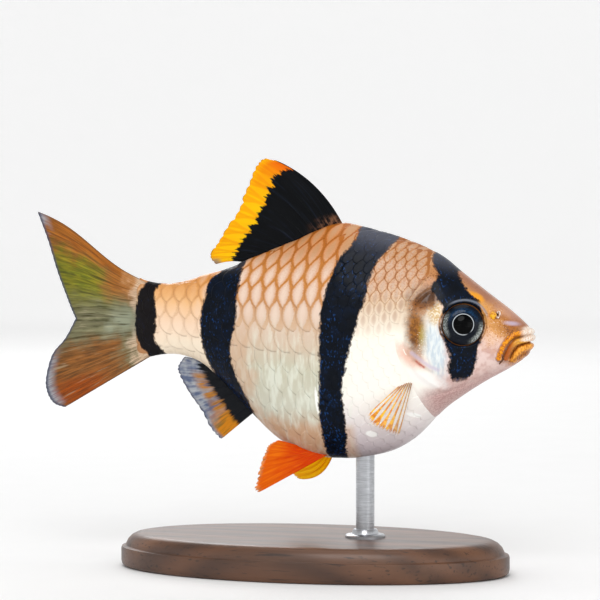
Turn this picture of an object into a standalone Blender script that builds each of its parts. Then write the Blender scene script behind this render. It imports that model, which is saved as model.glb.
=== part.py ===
"""A tiger barb at life size, swimming level, on a plain display stand.

The fish looks along +X with its back up (+Z) and its right side towards -Y.
The origin is on the underside of the stand, straight below the rod.
Sizes are in millimetres in the tables below and are turned into metres by MM.
"""
import math

import bmesh
import bpy
from mathutils import Matrix, Vector

MM = 0.001
GAP = 0.3            # clearance between neighbouring pieces

# The body from snout to tail root: each station gives its place along the fish, the level of the
# back and of the belly line, the half width, the share of the depth where it is widest, and how
# full the section is above and below that level (1 is an ellipse, more is a sharper ridge).
BODY_STATIONS = (
    (21.95, 31.10, 30.70, 0.10, 0.50, 0.90, 0.90),
    (21.75, 31.90, 29.60, 1.05, 0.50, 0.90, 0.90),
    (21.05, 32.75, 28.30, 1.85, 0.50, 0.90, 0.90),
    (18.98, 34.50, 26.85, 2.80, 0.50, 0.90, 0.90),
    (15.85, 36.80, 25.10, 3.85, 0.50, 0.92, 1.00),
    (12.70, 39.20, 23.05, 4.70, 0.50, 0.95, 1.00),
    (10.30, 41.10, 21.20, 5.25, 0.49, 1.00, 1.00),
    (7.40, 42.60, 18.15, 5.80, 0.47, 1.05, 0.95),
    (4.20, 43.75, 16.00, 6.35, 0.45, 1.10, 0.90),
    (0.00, 44.85, 14.90, 6.75, 0.43, 1.15, 0.88),
    (-3.50, 45.35, 14.70, 6.75, 0.43, 1.18, 0.90),
    (-6.30, 44.40, 14.85, 6.45, 0.44, 1.18, 0.93),
    (-8.90, 43.20, 15.50, 6.05, 0.44, 1.18, 0.97),
    (-12.00, 42.00, 17.30, 5.40, 0.46, 1.15, 1.05),
    (-15.20, 40.70, 20.15, 4.60, 0.48, 1.12, 1.12),
    (-18.50, 39.30, 23.50, 3.75, 0.50, 1.10, 1.15),
    (-21.85, 38.35, 26.40, 3.00, 0.50, 1.08, 1.10),
    (-24.40, 37.55, 27.50, 2.50, 0.50, 1.05, 1.05),
    (-26.90, 37.15, 27.75, 2.15, 0.50, 1.05, 1.05),
    (-29.60, 37.45, 27.25, 1.60, 0.50, 1.05, 1.05),
    (-31.30, 37.95, 26.50, 0.95, 0.50, 1.05, 1.05),
)
RINGS_PER_STATION = 2
RING_POINTS = 32
TAIL_END = BODY_STATIONS[-1][0]
SNOUT = BODY_STATIONS[0][0]

# Head: the eye, the mouth line, the lower jaw, the gill cover and the nostril, seen from the side.
EYE_AT = (13.95, 32.6)
EYE_RADIUS = 2.8
EYE_THICKNESS = 1.75   # half of it, along the eye's axis
EYE_SUNK = 0.75        # from the skin in to the eye's widest ring
ORBIT_RIM = 0.30
LIP_RADIUS = 0.46
MOUTH_LINE = ((23.20, 30.60), (21.60, 30.45), (20.10, 30.15), (19.10, 29.40), (18.50, 28.40))
JAW_REAR = ((18.75, 27.40), (19.30, 25.60))
JAW_OUTSIDE = ((26.0, 24.0), (26.0, 30.60))
LIP_TIP = 22.15
LIP_TURN = 0.75        # the lips turn round the snout over this length
LOWER_LIP_BACK = 0.45  # how far the lower lip lies behind the upper one
GILL_COVER = (
    (10.00, 36.8), (8.35, 35.6), (7.15, 33.3), (6.55, 31.0), (7.00, 29.0), (8.40, 27.6),
    (10.40, 26.4), (12.40, 26.6), (12.10, 28.2), (10.60, 30.0), (9.95, 32.6), (10.20, 35.0),
)
GILL_COVER_PROUD = 0.22
GILL_COVER_DEEP = 0.60
GILL_LINE = ((9.8, 50.0), (9.0, 41.0), (8.3, 36.5), (8.1, 31.0), (9.3, 26.5), (11.0, 21.5), (12.4, 10.0))
STALK_CUT = -23.3      # where the trunk ends and the stalk of the tail begins
NOSTRIL_AT = (17.85, 33.75)
NOSTRIL_RADIUS = 0.42
BARBEL_ROOT = (18.20, 28.30)
BARBEL_TIP = (17.45, 27.45)

# Fins: root and margin points run from the leading ray to the last one.
MEMBRANE = 0.50
RAY_RIDGE = 0.13       # how far a ray stands out of each side of the membrane
RAY_HALF_WIDTH = 0.16  # share of the space between two rays
FIN_ROWS = 7
FIN_SUNK = 1.3
DORSAL_ROOT = ((-3.7, 0, 45.1), (-7.0, 0, 44.1), (-11.4, 0, 42.1), (-16.0, 0, 40.3))
DORSAL_MARGIN = ((-12.6, 0, 53.7), (-14.4, 0, 52.9), (-15.9, 0, 49.8), (-17.8, 0, 46.1),
                 (-20.0, 0, 42.8), (-21.1, 0, 40.9), (-20.4, 0, 39.7))
ANAL_ROOT = ((-15.5, 0, 20.8), (-17.6, 0, 22.8), (-19.6, 0, 24.7), (-21.7, 0, 26.5))
ANAL_MARGIN = ((-19.7, 0, 16.7), (-21.0, 0, 17.9), (-22.4, 0, 20.5), (-24.0, 0, 22.7),
               (-25.4, 0, 24.9), (-25.7, 0, 26.2), (-24.7, 0, 27.5))
TAIL_ROOT_UPPER = ((-30.4, 0, 37.0), (-31.1, 0, 36.1), (-31.3, 0, 34.4), (-31.3, 0, 32.45))
TAIL_MARGIN_UPPER = ((-45.9, 0, 46.4), (-44.4, 0, 42.6), (-42.9, 0, 38.2), (-41.4, 0, 34.5),
                     (-40.4, 0, 32.45))
TAIL_ROOT_LOWER = ((-30.4, 0, 27.5), (-31.1, 0, 28.3), (-31.3, 0, 30.0), (-31.3, 0, 32.0))
TAIL_MARGIN_LOWER = ((-42.2, 0, 20.2), (-44.2, 0, 21.2), (-44.75, 0, 24.0), (-43.7, 0, 27.5),
                     (-41.9, 0, 29.5), (-40.6, 0, 32.0))
PECTORAL_ROOT = ((6.2, 5.3, 24.9), (6.9, 5.35, 25.2), (7.7, 5.3, 25.2))
PECTORAL_MARGIN = ((2.4, 8.0, 21.1), (2.9, 8.2, 20.0), (4.1, 8.1, 19.3), (5.4, 7.7, 18.7), (6.3, 7.2, 18.4))
PELVIC_ROOT = ((-5.4, 2.2, 15.2), (-6.9, 2.4, 15.5), (-8.6, 2.5, 16.1))
PELVIC_MARGIN_RIGHT = ((-13.3, 4.6, 10.3), (-13.6, 4.7, 11.3), (-12.9, 4.7, 13.6), (-12.3, 4.5, 15.5),
                       (-11.8, 4.2, 16.6), (-10.8, 3.7, 17.2))
PELVIC_MARGIN_LEFT = ((-10.9, 6.3, 11.2), (-11.9, 6.4, 12.2), (-12.2, 6.0, 13.8), (-12.0, 5.3, 15.4),
                      (-11.2, 4.4, 16.5))

# Stand: an oval foot and one round rod up to the belly.
BASE_LENGTH, BASE_WIDTH, BASE_HEIGHT = 52.0, 28.0, 4.5
BASE_MIDDLE = -7.0     # the middle of the foot is under the middle of the fish, behind the rod
BASE_BEVEL = 0.7
BASE_SIDES = 48
ROD_RADIUS = 1.2
ROD_SIDES = 24

# The tail sweeps gently to the fish's left, away from the side that is shown.
SWEEP_FROM, SWEEP_TO, SWEEP = -8.0, -44.0, 2.0

# Colours as (red, green, blue), roughness and metallic value.
FINISHES = {
    "skin": ((0.86, 0.70, 0.55), 0.30, 0.0),
    "gill": ((0.80, 0.74, 0.66), 0.25, 0.2),
    "eye": ((0.02, 0.03, 0.06), 0.08, 0.0),
    "black_fin": ((0.02, 0.02, 0.03), 0.40, 0.0),
    "orange_fin": ((0.95, 0.33, 0.03), 0.35, 0.0),
    "clear_fin": ((0.62, 0.45, 0.28), 0.35, 0.0),
    "wood": ((0.62, 0.45, 0.30), 0.45, 0.0),
    "steel": ((0.72, 0.72, 0.73), 0.28, 1.0),
}


def material(name):
    made = bpy.data.materials.get(name)
    if made is None:
        colour, roughness, metallic = FINISHES[name]
        made = bpy.data.materials.new(name)
        made.use_nodes = True
        shader = made.node_tree.nodes["Principled BSDF"]
        shader.inputs["Base Color"].default_value = (*colour, 1)
        shader.inputs["Roughness"].default_value = roughness
        shader.inputs["Metallic"].default_value = metallic
    return made


def add_object(name, points, faces):
    """A mesh object from points in millimetres."""
    mesh = bpy.data.meshes.new(name)
    mesh.from_pydata([Vector(p) * MM for p in points], [], faces)
    mesh.update()
    made = bpy.data.objects.new(name, mesh)
    bpy.context.scene.collection.objects.link(made)
    return made


def finish(piece, finish_name):
    piece.data.materials.clear()
    piece.data.materials.append(material(finish_name))
    piece.data.shade_smooth()
    piece.data.set_sharp_from_angle(angle=math.radians(40))
    return piece


def boolean(target, other, operation):
    """Applies one Boolean between two closed meshes, and removes the second."""
    step = target.modifiers.new("step", "BOOLEAN")
    step.object = other
    step.operation = operation
    step.solver = "EXACT"
    bpy.context.view_layer.objects.active = target
    bpy.ops.object.modifier_apply(modifier=step.name)
    bpy.data.objects.remove(other)
    return target


def union_all(target, pieces):
    """Joins a collection of closed meshes to the target in one Boolean, and removes them."""
    group = bpy.data.collections.new("pieces")
    bpy.context.scene.collection.children.link(group)
    for piece in pieces:
        group.objects.link(piece)
    step = target.modifiers.new("join", "BOOLEAN")
    step.operand_type = "COLLECTION"
    step.collection = group
    step.operation = "UNION"
    step.solver = "EXACT"
    step.use_self = True
    bpy.context.view_layer.objects.active = target
    bpy.ops.object.modifier_apply(modifier=step.name)
    for piece in pieces:
        bpy.data.objects.remove(piece)
    bpy.data.collections.remove(group)
    return target


def islands(bm):
    """The connected groups of faces of a bmesh."""
    left = set(bm.faces)
    groups = []
    while left:
        todo = [left.pop()]
        group = []
        while todo:
            face = todo.pop()
            group.append(face)
            for edge in face.edges:
                for other in edge.link_faces:
                    if other in left:
                        left.remove(other)
                        todo.append(other)
        groups.append(group)
    return groups


def keep_largest(piece):
    """Leaves only the largest closed surface of a piece."""
    bm = bmesh.new()
    bm.from_mesh(piece.data)
    bmesh.ops.remove_doubles(bm, verts=bm.verts, dist=0.002 * MM)
    groups = sorted(islands(bm), key=lambda faces: sum(f.calc_area() for f in faces))
    for group in groups[:-1]:
        bmesh.ops.delete(bm, geom=group, context="FACES")
    loose = [v for v in bm.verts if not v.link_faces]
    bmesh.ops.delete(bm, geom=loose, context="VERTS")
    bmesh.ops.triangulate(bm, faces=bm.faces)
    bm.to_mesh(piece.data)
    bm.free()
    return piece


def spline(points, t):
    """The point at t on a Catmull-Rom curve, where t runs from 0 to len(points) - 1."""
    last = len(points) - 1
    i = min(int(t), last - 1)
    f = t - i
    p1, p2 = points[i], points[i + 1]
    p0 = points[i - 1] if i else [2 * a - b for a, b in zip(p1, p2)]
    p3 = points[i + 2] if i + 2 <= last else [2 * b - a for a, b in zip(p1, p2)]
    return tuple(
        0.5 * (2 * b + (c - a) * f + (2 * a - 5 * b + 4 * c - d) * f**2 + (3 * b - a - 3 * c + d) * f**3)
        for a, b, c, d in zip(p0, p1, p2, p3)
    )


def along(points, share):
    """The point at a share (0 to 1) of a spline's own count of spans."""
    return spline(points, share * (len(points) - 1))


def section_point(station, angle):
    """The point of a body section at an angle from the top, turning towards +Y."""
    x, back, belly, half, level, upper, lower = station
    widest = belly + (back - belly) * level
    up = math.cos(angle)
    side = math.sin(angle)
    height = back - widest if up > 0 else widest - belly
    fullness = upper if up > 0 else lower
    return (x, math.copysign(half * abs(side) ** fullness, side), widest + height * up)


def station_at(x):
    """The body station at a place along the fish, found by halving."""
    low, high = 0.0, len(BODY_STATIONS) - 1.0
    for _ in range(40):
        middle = (low + high) / 2
        if spline(BODY_STATIONS, middle)[0] > x:
            low = middle
        else:
            high = middle
    return spline(BODY_STATIONS, low)


def flank(x, z):
    """Half of the body's width at a place along it and a level."""
    _, back, belly, half, level, upper, lower = station_at(x)
    widest = belly + (back - belly) * level
    height, fullness = (back - widest, upper) if z > widest else (widest - belly, lower)
    up = min(1.0, abs(z - widest) / height)
    return half * math.sqrt(1 - up * up) ** fullness


def flank_normal(x, z, side):
    """The unit vector out of the skin at a place on one side (+1 is the fish's left)."""
    step = 0.4
    slope_x = (flank(x + step, z) - flank(x - step, z)) / (2 * step)
    slope_z = (flank(x, z + step) - flank(x, z - step)) / (2 * step)
    return Vector((-slope_x, side, -slope_z)).normalized()


def body(grow=0.0):
    """The whole smooth body, head and stalk as one closed mesh, grown outwards or inwards."""
    points, faces = [(SNOUT, 0, BODY_STATIONS[0][1])], []
    rings = (len(BODY_STATIONS) - 1) * RINGS_PER_STATION
    for ring in range(1, rings + 1):
        station = spline(BODY_STATIONS, ring / RINGS_PER_STATION)
        for i in range(RING_POINTS):
            points.append(section_point(station, 2 * math.pi * i / RING_POINTS))
    for i in range(RING_POINTS):
        j = (i + 1) % RING_POINTS
        faces.append((0, 1 + i, 1 + j))
        for ring in range(rings - 1):
            a = 1 + ring * RING_POINTS
            b = a + RING_POINTS
            faces.append((a + i, b + i, b + j, a + j))
    last = 1 + (rings - 1) * RING_POINTS
    faces.append(tuple(last + i for i in range(RING_POINTS)))
    made = add_object("body", points, faces)
    bm = bmesh.new()
    bm.from_mesh(made.data)
    bmesh.ops.recalc_face_normals(bm, faces=bm.faces)
    bm.normal_update()
    normals = [v.normal.copy() for v in bm.verts]
    for vertex, normal in zip(bm.verts, normals):
        vertex.co += normal * grow * MM
    bm.to_mesh(made.data)
    bm.free()
    return made


def prism(outline, low, high):
    """An outline in the fish's side view, as a closed block from one level of Y to another."""
    count = len(outline)
    points = [(x, low, z) for x, z in outline] + [(x, high, z) for x, z in outline]
    faces = [tuple(range(count)), tuple(range(2 * count - 1, count - 1, -1))]
    for i in range(count):
        j = (i + 1) % count
        faces.append((i, count + i, count + j, j))
    made = add_object("block", points, faces)
    bm = bmesh.new()
    bm.from_mesh(made.data)
    bmesh.ops.recalc_face_normals(bm, faces=bm.faces)
    bm.to_mesh(made.data)
    bm.free()
    return made


def smooth_outline(points, per_span):
    """A closed outline curved through its points."""
    ring = [*points, points[0]]
    spans = len(points)
    wrapped = [points[-1], *ring, points[1]]
    return [spline(wrapped, 1 + i / per_span) for i in range(spans * per_span)]


def offset_outline(outline, distance):
    """A closed outline moved outwards by a distance."""
    area = sum(a[0] * b[1] - b[0] * a[1] for a, b in zip(outline, [*outline[1:], outline[0]]))
    turn = math.copysign(1, area)
    moved = []
    for i, (x, z) in enumerate(outline):
        before, after = outline[i - 1], outline[(i + 1) % len(outline)]
        dx, dz = after[0] - before[0], after[1] - before[1]
        size = math.hypot(dx, dz)
        moved.append((x + turn * distance * dz / size, z - turn * distance * dx / size))
    return moved


def curved_line(points, steps):
    return [along(points, i / steps) for i in range(steps + 1)]


def tube(points, radii, sides=8):
    """A closed round tube through points, with a radius at each."""
    rings, faces = [], []
    path = [Vector(p) for p in points]
    upright = abs((path[1] - path[0]).normalized().z) > 0.9
    side = Vector((1, 0, 0)) if upright else Vector((0, 0, 1))
    for i, point in enumerate(path):
        heading = (path[min(i + 1, len(path) - 1)] - path[max(i - 1, 0)]).normalized()
        side = (side - heading * side.dot(heading)).normalized()
        other = heading.cross(side)
        for k in range(sides):
            angle = 2 * math.pi * k / sides
            rings.append(point + (side * math.cos(angle) + other * math.sin(angle)) * radii[i])
    for i in range(len(path) - 1):
        for k in range(sides):
            a, b = i * sides + k, i * sides + (k + 1) % sides
            faces.append((a, b, b + sides, a + sides))
    faces.append(tuple(range(sides - 1, -1, -1)))
    faces.append(tuple(range(len(rings) - sides, len(rings))))
    return add_object("tube", rings, faces)


def eye_placement(side):
    """The matrix that sets an eye in its socket: its Z axis looks out of the head."""
    x, z = EYE_AT
    out = flank_normal(x, z, side)
    centre = Vector((x, side * flank(x, z), z)) - out * EYE_SUNK
    return Matrix.Translation(centre * MM) @ out.to_track_quat("Z", "Y").to_matrix().to_4x4()


def eyeball(name, side, grow=0.0):
    """The flattened ball of one eye, at its size or grown to cut its socket."""
    mesh = bpy.data.meshes.new(name)
    bm = bmesh.new()
    bmesh.ops.create_uvsphere(bm, u_segments=24, v_segments=14, radius=1)
    wide, deep = (EYE_RADIUS + grow) * MM, (EYE_THICKNESS + grow) * MM
    bmesh.ops.transform(bm, matrix=eye_placement(side) @ Matrix.Diagonal((wide, wide, deep, 1)), verts=bm.verts)
    bm.to_mesh(mesh)
    bm.free()
    made = bpy.data.objects.new(name, mesh)
    bpy.context.scene.collection.objects.link(made)
    return made


def ring_on_skin(centre, radius, thickness, side, segments=28, sides=8):
    """A rounded rim lying on the skin around a place on one side."""
    out = flank_normal(*centre, side)
    turn = out.to_track_quat("Z", "Y").to_matrix()
    points, faces = [], []
    for i in range(segments):
        angle = 2 * math.pi * i / segments
        spoke = turn @ Vector((math.cos(angle), math.sin(angle), 0))
        x, z = centre[0] + spoke.x * radius, centre[1] + spoke.z * radius
        on_skin = Vector((x, side * flank(x, z), z))
        for k in range(sides):
            about = 2 * math.pi * k / sides
            points.append(on_skin + (spoke * math.cos(about) + out * math.sin(about)) * thickness)
    for i in range(segments):
        for k in range(sides):
            j, m = (i + 1) % segments, (k + 1) % sides
            faces.append((i * sides + k, j * sides + k, j * sides + m, i * sides + m))
    made = add_object("rim", points, faces)
    bm = bmesh.new()
    bm.from_mesh(made.data)
    bmesh.ops.recalc_face_normals(bm, faces=bm.faces)
    bm.to_mesh(made.data)
    bm.free()
    return made


def lip(shift, back):
    """One lip: a roll that runs from one corner of the mouth round the snout to the other."""
    tip = LIP_TIP - back
    places = [(x, z + shift) for x, z in curved_line(MOUTH_LINE, 12) if x < tip - LIP_TURN]
    right = [(x, -(flank(x, z) - 0.25 * LIP_RADIUS), z) for x, z in reversed(places)]
    corners = [*right, (tip, 0.0, places[0][1]), *((x, -y, z) for x, y, z in reversed(right))]
    steps = 26
    route = curved_line(corners, steps)
    radii = [LIP_RADIUS * (1 - 0.45 * abs(2 * i / steps - 1) ** 3) for i in range(steps + 1)]
    return tube(route, radii)


def nostril_pit(side):
    x, z = NOSTRIL_AT
    out = flank_normal(x, z, side)
    skin = Vector((x, side * flank(x, z), z))
    return tube([skin + out * 0.8, skin - out * 0.55], [NOSTRIL_RADIUS * 0.62] * 2, sides=10)


def barbel(side):
    """The short feeler at a corner of the mouth."""
    points = []
    for share in (0.0, 0.25, 0.5, 0.75, 1.0):
        x = BARBEL_ROOT[0] + (BARBEL_TIP[0] - BARBEL_ROOT[0]) * share
        z = BARBEL_ROOT[1] + (BARBEL_TIP[1] - BARBEL_ROOT[1]) * share
        points.append((x, side * (flank(x, z) - 0.15 + 0.45 * share), z))
    return tube(points, [0.30, 0.28, 0.25, 0.21, 0.10])


def gill_pocket(side, outline):
    """The hollow in the head that a gill cover lies in."""
    pocket = prism(offset_outline(outline, GAP), *sorted((side * 0.5, side * 12)))
    return boolean(pocket, body(-(GILL_COVER_DEEP + GAP)), "DIFFERENCE")


def gill_cover(name, side, outline):
    """The bony plate over the gills, as a thin shell that follows the head."""
    plate = prism(outline, *sorted((side * 0.5, side * 12)))
    boolean(plate, body(GILL_COVER_PROUD), "INTERSECT")
    boolean(plate, body(-GILL_COVER_DEEP), "DIFFERENCE")
    plate.name = name
    return finish(keep_largest(plate), "gill")


def flesh(gill_outline):
    """The body with lips, rims and feelers joined on, and with the hollows of eyes and gills."""
    made = body()
    extras = [lip(0.6, 0.0), lip(-0.6, LOWER_LIP_BACK)]
    for side in (-1, 1):
        extras.append(ring_on_skin(EYE_AT, EYE_RADIUS + 0.22, ORBIT_RIM, side))
        extras.append(ring_on_skin(NOSTRIL_AT, NOSTRIL_RADIUS, 0.20, side, segments=12, sides=6))
        extras.append(barbel(side))
    union_all(made, extras)
    for side in (-1, 1):
        boolean(made, eyeball("socket", side, GAP), "DIFFERENCE")
        boolean(made, nostril_pit(side), "DIFFERENCE")
        boolean(made, gill_pocket(side, gill_outline), "DIFFERENCE")
    return keep_largest(made)


def copy_of(piece, name):
    made = piece.copy()
    made.data = piece.data.copy()
    made.name = name
    bpy.context.scene.collection.objects.link(made)
    return made


def cut_body():
    """Parts the flesh with thin cuts into head, lower jaw, trunk and the stalk of the tail."""
    gill_outline = smooth_outline(GILL_COVER, 2)
    whole = flesh(gill_outline)
    half_gap = GAP / 2
    gill_line = curved_line(GILL_LINE, 16)
    jaw_outline = [*curved_line(MOUTH_LINE, 12), *JAW_REAR, *JAW_OUTSIDE]
    jaw_outline = offset_outline(jaw_outline, -half_gap)

    head = copy_of(whole, "head")
    front = [(x + half_gap, z) for x, z in gill_line]
    boolean(head, prism([*front, (30, 10), (30, 50)], -12, 12), "INTERSECT")
    boolean(head, prism(offset_outline(jaw_outline, GAP), -12, 12), "DIFFERENCE")
    finish(keep_largest(head), "skin")

    jaw = copy_of(whole, "lower_jaw")
    boolean(jaw, prism(jaw_outline, -12, 12), "INTERSECT")
    finish(keep_largest(jaw), "skin")

    trunk = copy_of(whole, "trunk")
    rear = [(x - half_gap, z) for x, z in reversed(gill_line)]
    cut = STALK_CUT + half_gap
    boolean(trunk, prism([*rear, (cut, 50), (cut, 10)], -12, 12), "INTERSECT")
    finish(keep_largest(trunk), "skin")

    stalk = copy_of(whole, "tail_stalk")
    cut = STALK_CUT - half_gap
    boolean(stalk, prism([(cut, 50), (-34, 50), (-34, 10), (cut, 10)], -12, 12), "INTERSECT")
    finish(keep_largest(stalk), "skin")

    bpy.data.objects.remove(whole)
    for side, name in ((-1, "gill_cover_right"), (1, "gill_cover_left")):
        gill_cover(name, side, gill_outline)
        finish(eyeball(name.replace("gill_cover", "eye"), side), "eye")


def fin(name, root, margin, rays, finish_name, bow=(0, 0, 0), fray=0.05, sunk=FIN_SUNK):
    """A fin as one closed sheet whose rays stand out as ridges on both sides.

    Root and margin are points from the leading ray to the last. Each ray is bowed by a vector that
    fades to nothing at the last ray, and the membrane between two rays ends a little short of them.
    """
    columns = []
    for ray in range(rays):
        centre = ray / (rays - 1)
        half = RAY_HALF_WIDTH / (rays - 1)
        for shift, ridge in ((-half, 0.0), (0.0, 1.0), (half, 0.0)):
            columns.append((min(1.0, max(0.0, centre + shift)), ridge))
    columns = columns[1:-1]
    middle_ray = Vector(along(margin, 0.5)) - Vector(along(root, 0.5))
    sink = middle_ray.normalized() * sunk
    root_normal = (Vector(root[0]) - Vector(root[-1])).cross(middle_ray).normalized()

    def place(share, out):
        start, end = Vector(along(root, share)) - sink, Vector(along(margin, share))
        bend = Vector(bow) * (1 - share) * 4 * out * (1 - out)
        return start.lerp(end, out) + bend

    sides = {1: [], -1: []}
    step = 0.004
    for share, ridge in columns:
        reach = 1.0 - fray * (1 - ridge)
        for row in range(FIN_ROWS):
            out = reach * row / (FIN_ROWS - 1)
            point = place(share, out)
            left, right = min(1.0, share + step), max(0.0, share - step)
            over = place(right, out) - place(left, out)
            up = place(share, min(1.0, out + step)) - place(share, max(0.0, out - step))
            normal = root_normal.lerp(over.cross(up).normalized(), out).normalized()
            room = over.length / (left - right) * RAY_HALF_WIDTH / (rays - 1)
            half = MEMBRANE / 2 + ridge * min(RAY_RIDGE * (1 - 0.55 * out), 0.7 * room)
            sides[1].append(point + normal * half)
            sides[-1].append(point - normal * half)
    points = sides[1] + sides[-1]
    back = len(sides[1])
    faces = []
    for c in range(len(columns) - 1):
        for r in range(FIN_ROWS - 1):
            a, b = c * FIN_ROWS + r, (c + 1) * FIN_ROWS + r
            faces += [(a, b, b + 1), (a, b + 1, a + 1)]
            faces += [(back + a, back + b + 1, back + b), (back + a, back + a + 1, back + b + 1)]
    rim = [c * FIN_ROWS for c in range(len(columns))]
    rim += [rim[-1] + r for r in range(1, FIN_ROWS)]
    rim += [c * FIN_ROWS + FIN_ROWS - 1 for c in range(len(columns) - 2, -1, -1)]
    rim += list(range(FIN_ROWS - 2, 0, -1))
    for a, b in zip(rim, [*rim[1:], rim[0]]):
        faces += [(a, back + a, back + b), (a, back + b, b)]
    made = add_object(name, points, faces)
    bm = bmesh.new()
    bm.from_mesh(made.data)
    bmesh.ops.recalc_face_normals(bm, faces=bm.faces)
    bm.to_mesh(made.data)
    bm.free()
    boolean(made, body(GAP), "DIFFERENCE")
    return finish(keep_largest(made), finish_name)


def mirrored(points):
    return tuple((x, -y, z) for x, y, z in points)


def fins():
    fin("dorsal_fin", DORSAL_ROOT, DORSAL_MARGIN, 11, "black_fin", bow=(0.7, 0, 0.95))
    fin("anal_fin", ANAL_ROOT, ANAL_MARGIN, 8, "black_fin", fray=0.04)
    fin("tail_fin_upper", TAIL_ROOT_UPPER, TAIL_MARGIN_UPPER, 10, "clear_fin", fray=0.02, sunk=0.5)
    fin("tail_fin_lower", TAIL_ROOT_LOWER, TAIL_MARGIN_LOWER, 9, "clear_fin", fray=0.02, sunk=0.5)
    fin("pectoral_fin_left", PECTORAL_ROOT, PECTORAL_MARGIN, 6, "orange_fin", fray=0.06, sunk=0.8)
    fin("pectoral_fin_right", mirrored(PECTORAL_ROOT), mirrored(PECTORAL_MARGIN), 6, "orange_fin",
        fray=0.06, sunk=0.8)
    fin("pelvic_fin_right", mirrored(PELVIC_ROOT), mirrored(PELVIC_MARGIN_RIGHT), 7, "orange_fin", sunk=0.8)
    fin("pelvic_fin_left", PELVIC_ROOT, PELVIC_MARGIN_LEFT, 7, "orange_fin",
        bow=(0.6, 0.3, -1.1), sunk=0.8)


def sweep_tail():
    """Bends every piece made so far sideways, more and more towards the end of the tail."""
    for piece in bpy.data.objects:
        for vertex in piece.data.vertices:
            behind = max(0.0, (SWEEP_FROM * MM - vertex.co.x) / ((SWEEP_FROM - SWEEP_TO) * MM))
            vertex.co.y += SWEEP * MM * behind**2
        piece.data.update()


def stand():
    """An oval foot with a rounded edge, and a rod that meets the belly."""
    mesh = bpy.data.meshes.new("stand_base")
    bm = bmesh.new()
    bmesh.ops.create_cone(bm, cap_ends=True, segments=BASE_SIDES, radius1=0.5, radius2=0.5, depth=1)
    middle = Vector((BASE_MIDDLE, 0, BASE_HEIGHT / 2)) * MM
    size = Matrix.Diagonal((BASE_LENGTH * MM, BASE_WIDTH * MM, BASE_HEIGHT * MM, 1))
    bmesh.ops.transform(bm, matrix=Matrix.Translation(middle) @ size, verts=bm.verts)
    rims = [e for e in bm.edges if abs(e.verts[0].co.z - e.verts[1].co.z) < 1e-6]
    bmesh.ops.bevel(bm, geom=rims, offset=BASE_BEVEL * MM, segments=3, profile=0.5, affect="EDGES")
    bm.to_mesh(mesh)
    bm.free()
    base = bpy.data.objects.new("stand_base", mesh)
    bpy.context.scene.collection.objects.link(base)
    finish(base, "wood")

    rod = tube([(0, 0, BASE_HEIGHT + GAP), (0, 0, 20.0)], [ROD_RADIUS] * 2, ROD_SIDES)
    rod.name = "stand_rod"
    boolean(rod, body(GAP), "DIFFERENCE")
    finish(keep_largest(rod), "steel")


def main():
    for old in list(bpy.data.objects):
        bpy.data.objects.remove(old)
    cut_body()
    fins()
    sweep_tail()
    stand()


main()
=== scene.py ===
"""The looks of a life-size tiger barb on its display stand: skin, scales, fins, eyes, stand and studio."""
import math

import bmesh
import bpy
import numpy as np
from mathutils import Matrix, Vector


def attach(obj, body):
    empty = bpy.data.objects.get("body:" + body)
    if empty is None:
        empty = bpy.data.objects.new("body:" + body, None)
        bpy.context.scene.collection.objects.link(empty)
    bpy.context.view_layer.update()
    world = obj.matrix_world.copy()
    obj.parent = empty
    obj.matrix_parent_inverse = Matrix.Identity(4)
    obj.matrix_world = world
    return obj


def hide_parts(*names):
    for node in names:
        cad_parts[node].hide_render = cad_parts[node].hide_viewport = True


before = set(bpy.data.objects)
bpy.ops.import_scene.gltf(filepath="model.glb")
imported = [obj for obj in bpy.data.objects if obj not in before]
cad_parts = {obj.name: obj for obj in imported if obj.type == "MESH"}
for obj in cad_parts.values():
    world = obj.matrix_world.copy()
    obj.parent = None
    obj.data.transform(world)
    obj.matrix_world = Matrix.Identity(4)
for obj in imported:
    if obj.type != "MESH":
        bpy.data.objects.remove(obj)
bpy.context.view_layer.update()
MM = 0.001
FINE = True
SIDES = ((-1, "right"), (1, "left"))

# The body as in the solids: place along the fish, level of the back and of the belly line, half
# width, share of the depth where it is widest, and how full the section is above and below it.
BODY_STATIONS = (
    (21.95, 31.10, 30.70, 0.10, 0.50, 0.90, 0.90),
    (21.75, 31.90, 29.60, 1.05, 0.50, 0.90, 0.90),
    (21.05, 32.75, 28.30, 1.85, 0.50, 0.90, 0.90),
    (18.98, 34.50, 26.85, 2.80, 0.50, 0.90, 0.90),
    (15.85, 36.80, 25.10, 3.85, 0.50, 0.92, 1.00),
    (12.70, 39.20, 23.05, 4.70, 0.50, 0.95, 1.00),
    (10.30, 41.10, 21.20, 5.25, 0.49, 1.00, 1.00),
    (7.40, 42.60, 18.15, 5.80, 0.47, 1.05, 0.95),
    (4.20, 43.75, 16.00, 6.35, 0.45, 1.10, 0.90),
    (0.00, 44.85, 14.90, 6.75, 0.43, 1.15, 0.88),
    (-3.50, 45.35, 14.70, 6.75, 0.43, 1.18, 0.90),
    (-6.30, 44.40, 14.85, 6.45, 0.44, 1.18, 0.93),
    (-8.90, 43.20, 15.50, 6.05, 0.44, 1.18, 0.97),
    (-12.00, 42.00, 17.30, 5.40, 0.46, 1.15, 1.05),
    (-15.20, 40.70, 20.15, 4.60, 0.48, 1.12, 1.12),
    (-18.50, 39.30, 23.50, 3.75, 0.50, 1.10, 1.15),
    (-21.85, 38.35, 26.40, 3.00, 0.50, 1.08, 1.10),
    (-24.40, 37.55, 27.50, 2.50, 0.50, 1.05, 1.05),
    (-26.90, 37.15, 27.75, 2.15, 0.50, 1.05, 1.05),
    (-29.60, 37.45, 27.25, 1.60, 0.50, 1.05, 1.05),
    (-31.30, 37.95, 26.50, 0.95, 0.50, 1.05, 1.05),
)
SNOUT = BODY_STATIONS[0][0]
TAIL_END = BODY_STATIONS[-1][0]
SWEEP_FROM, SWEEP_TO, SWEEP = -8.0, -44.0, 2.0

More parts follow.
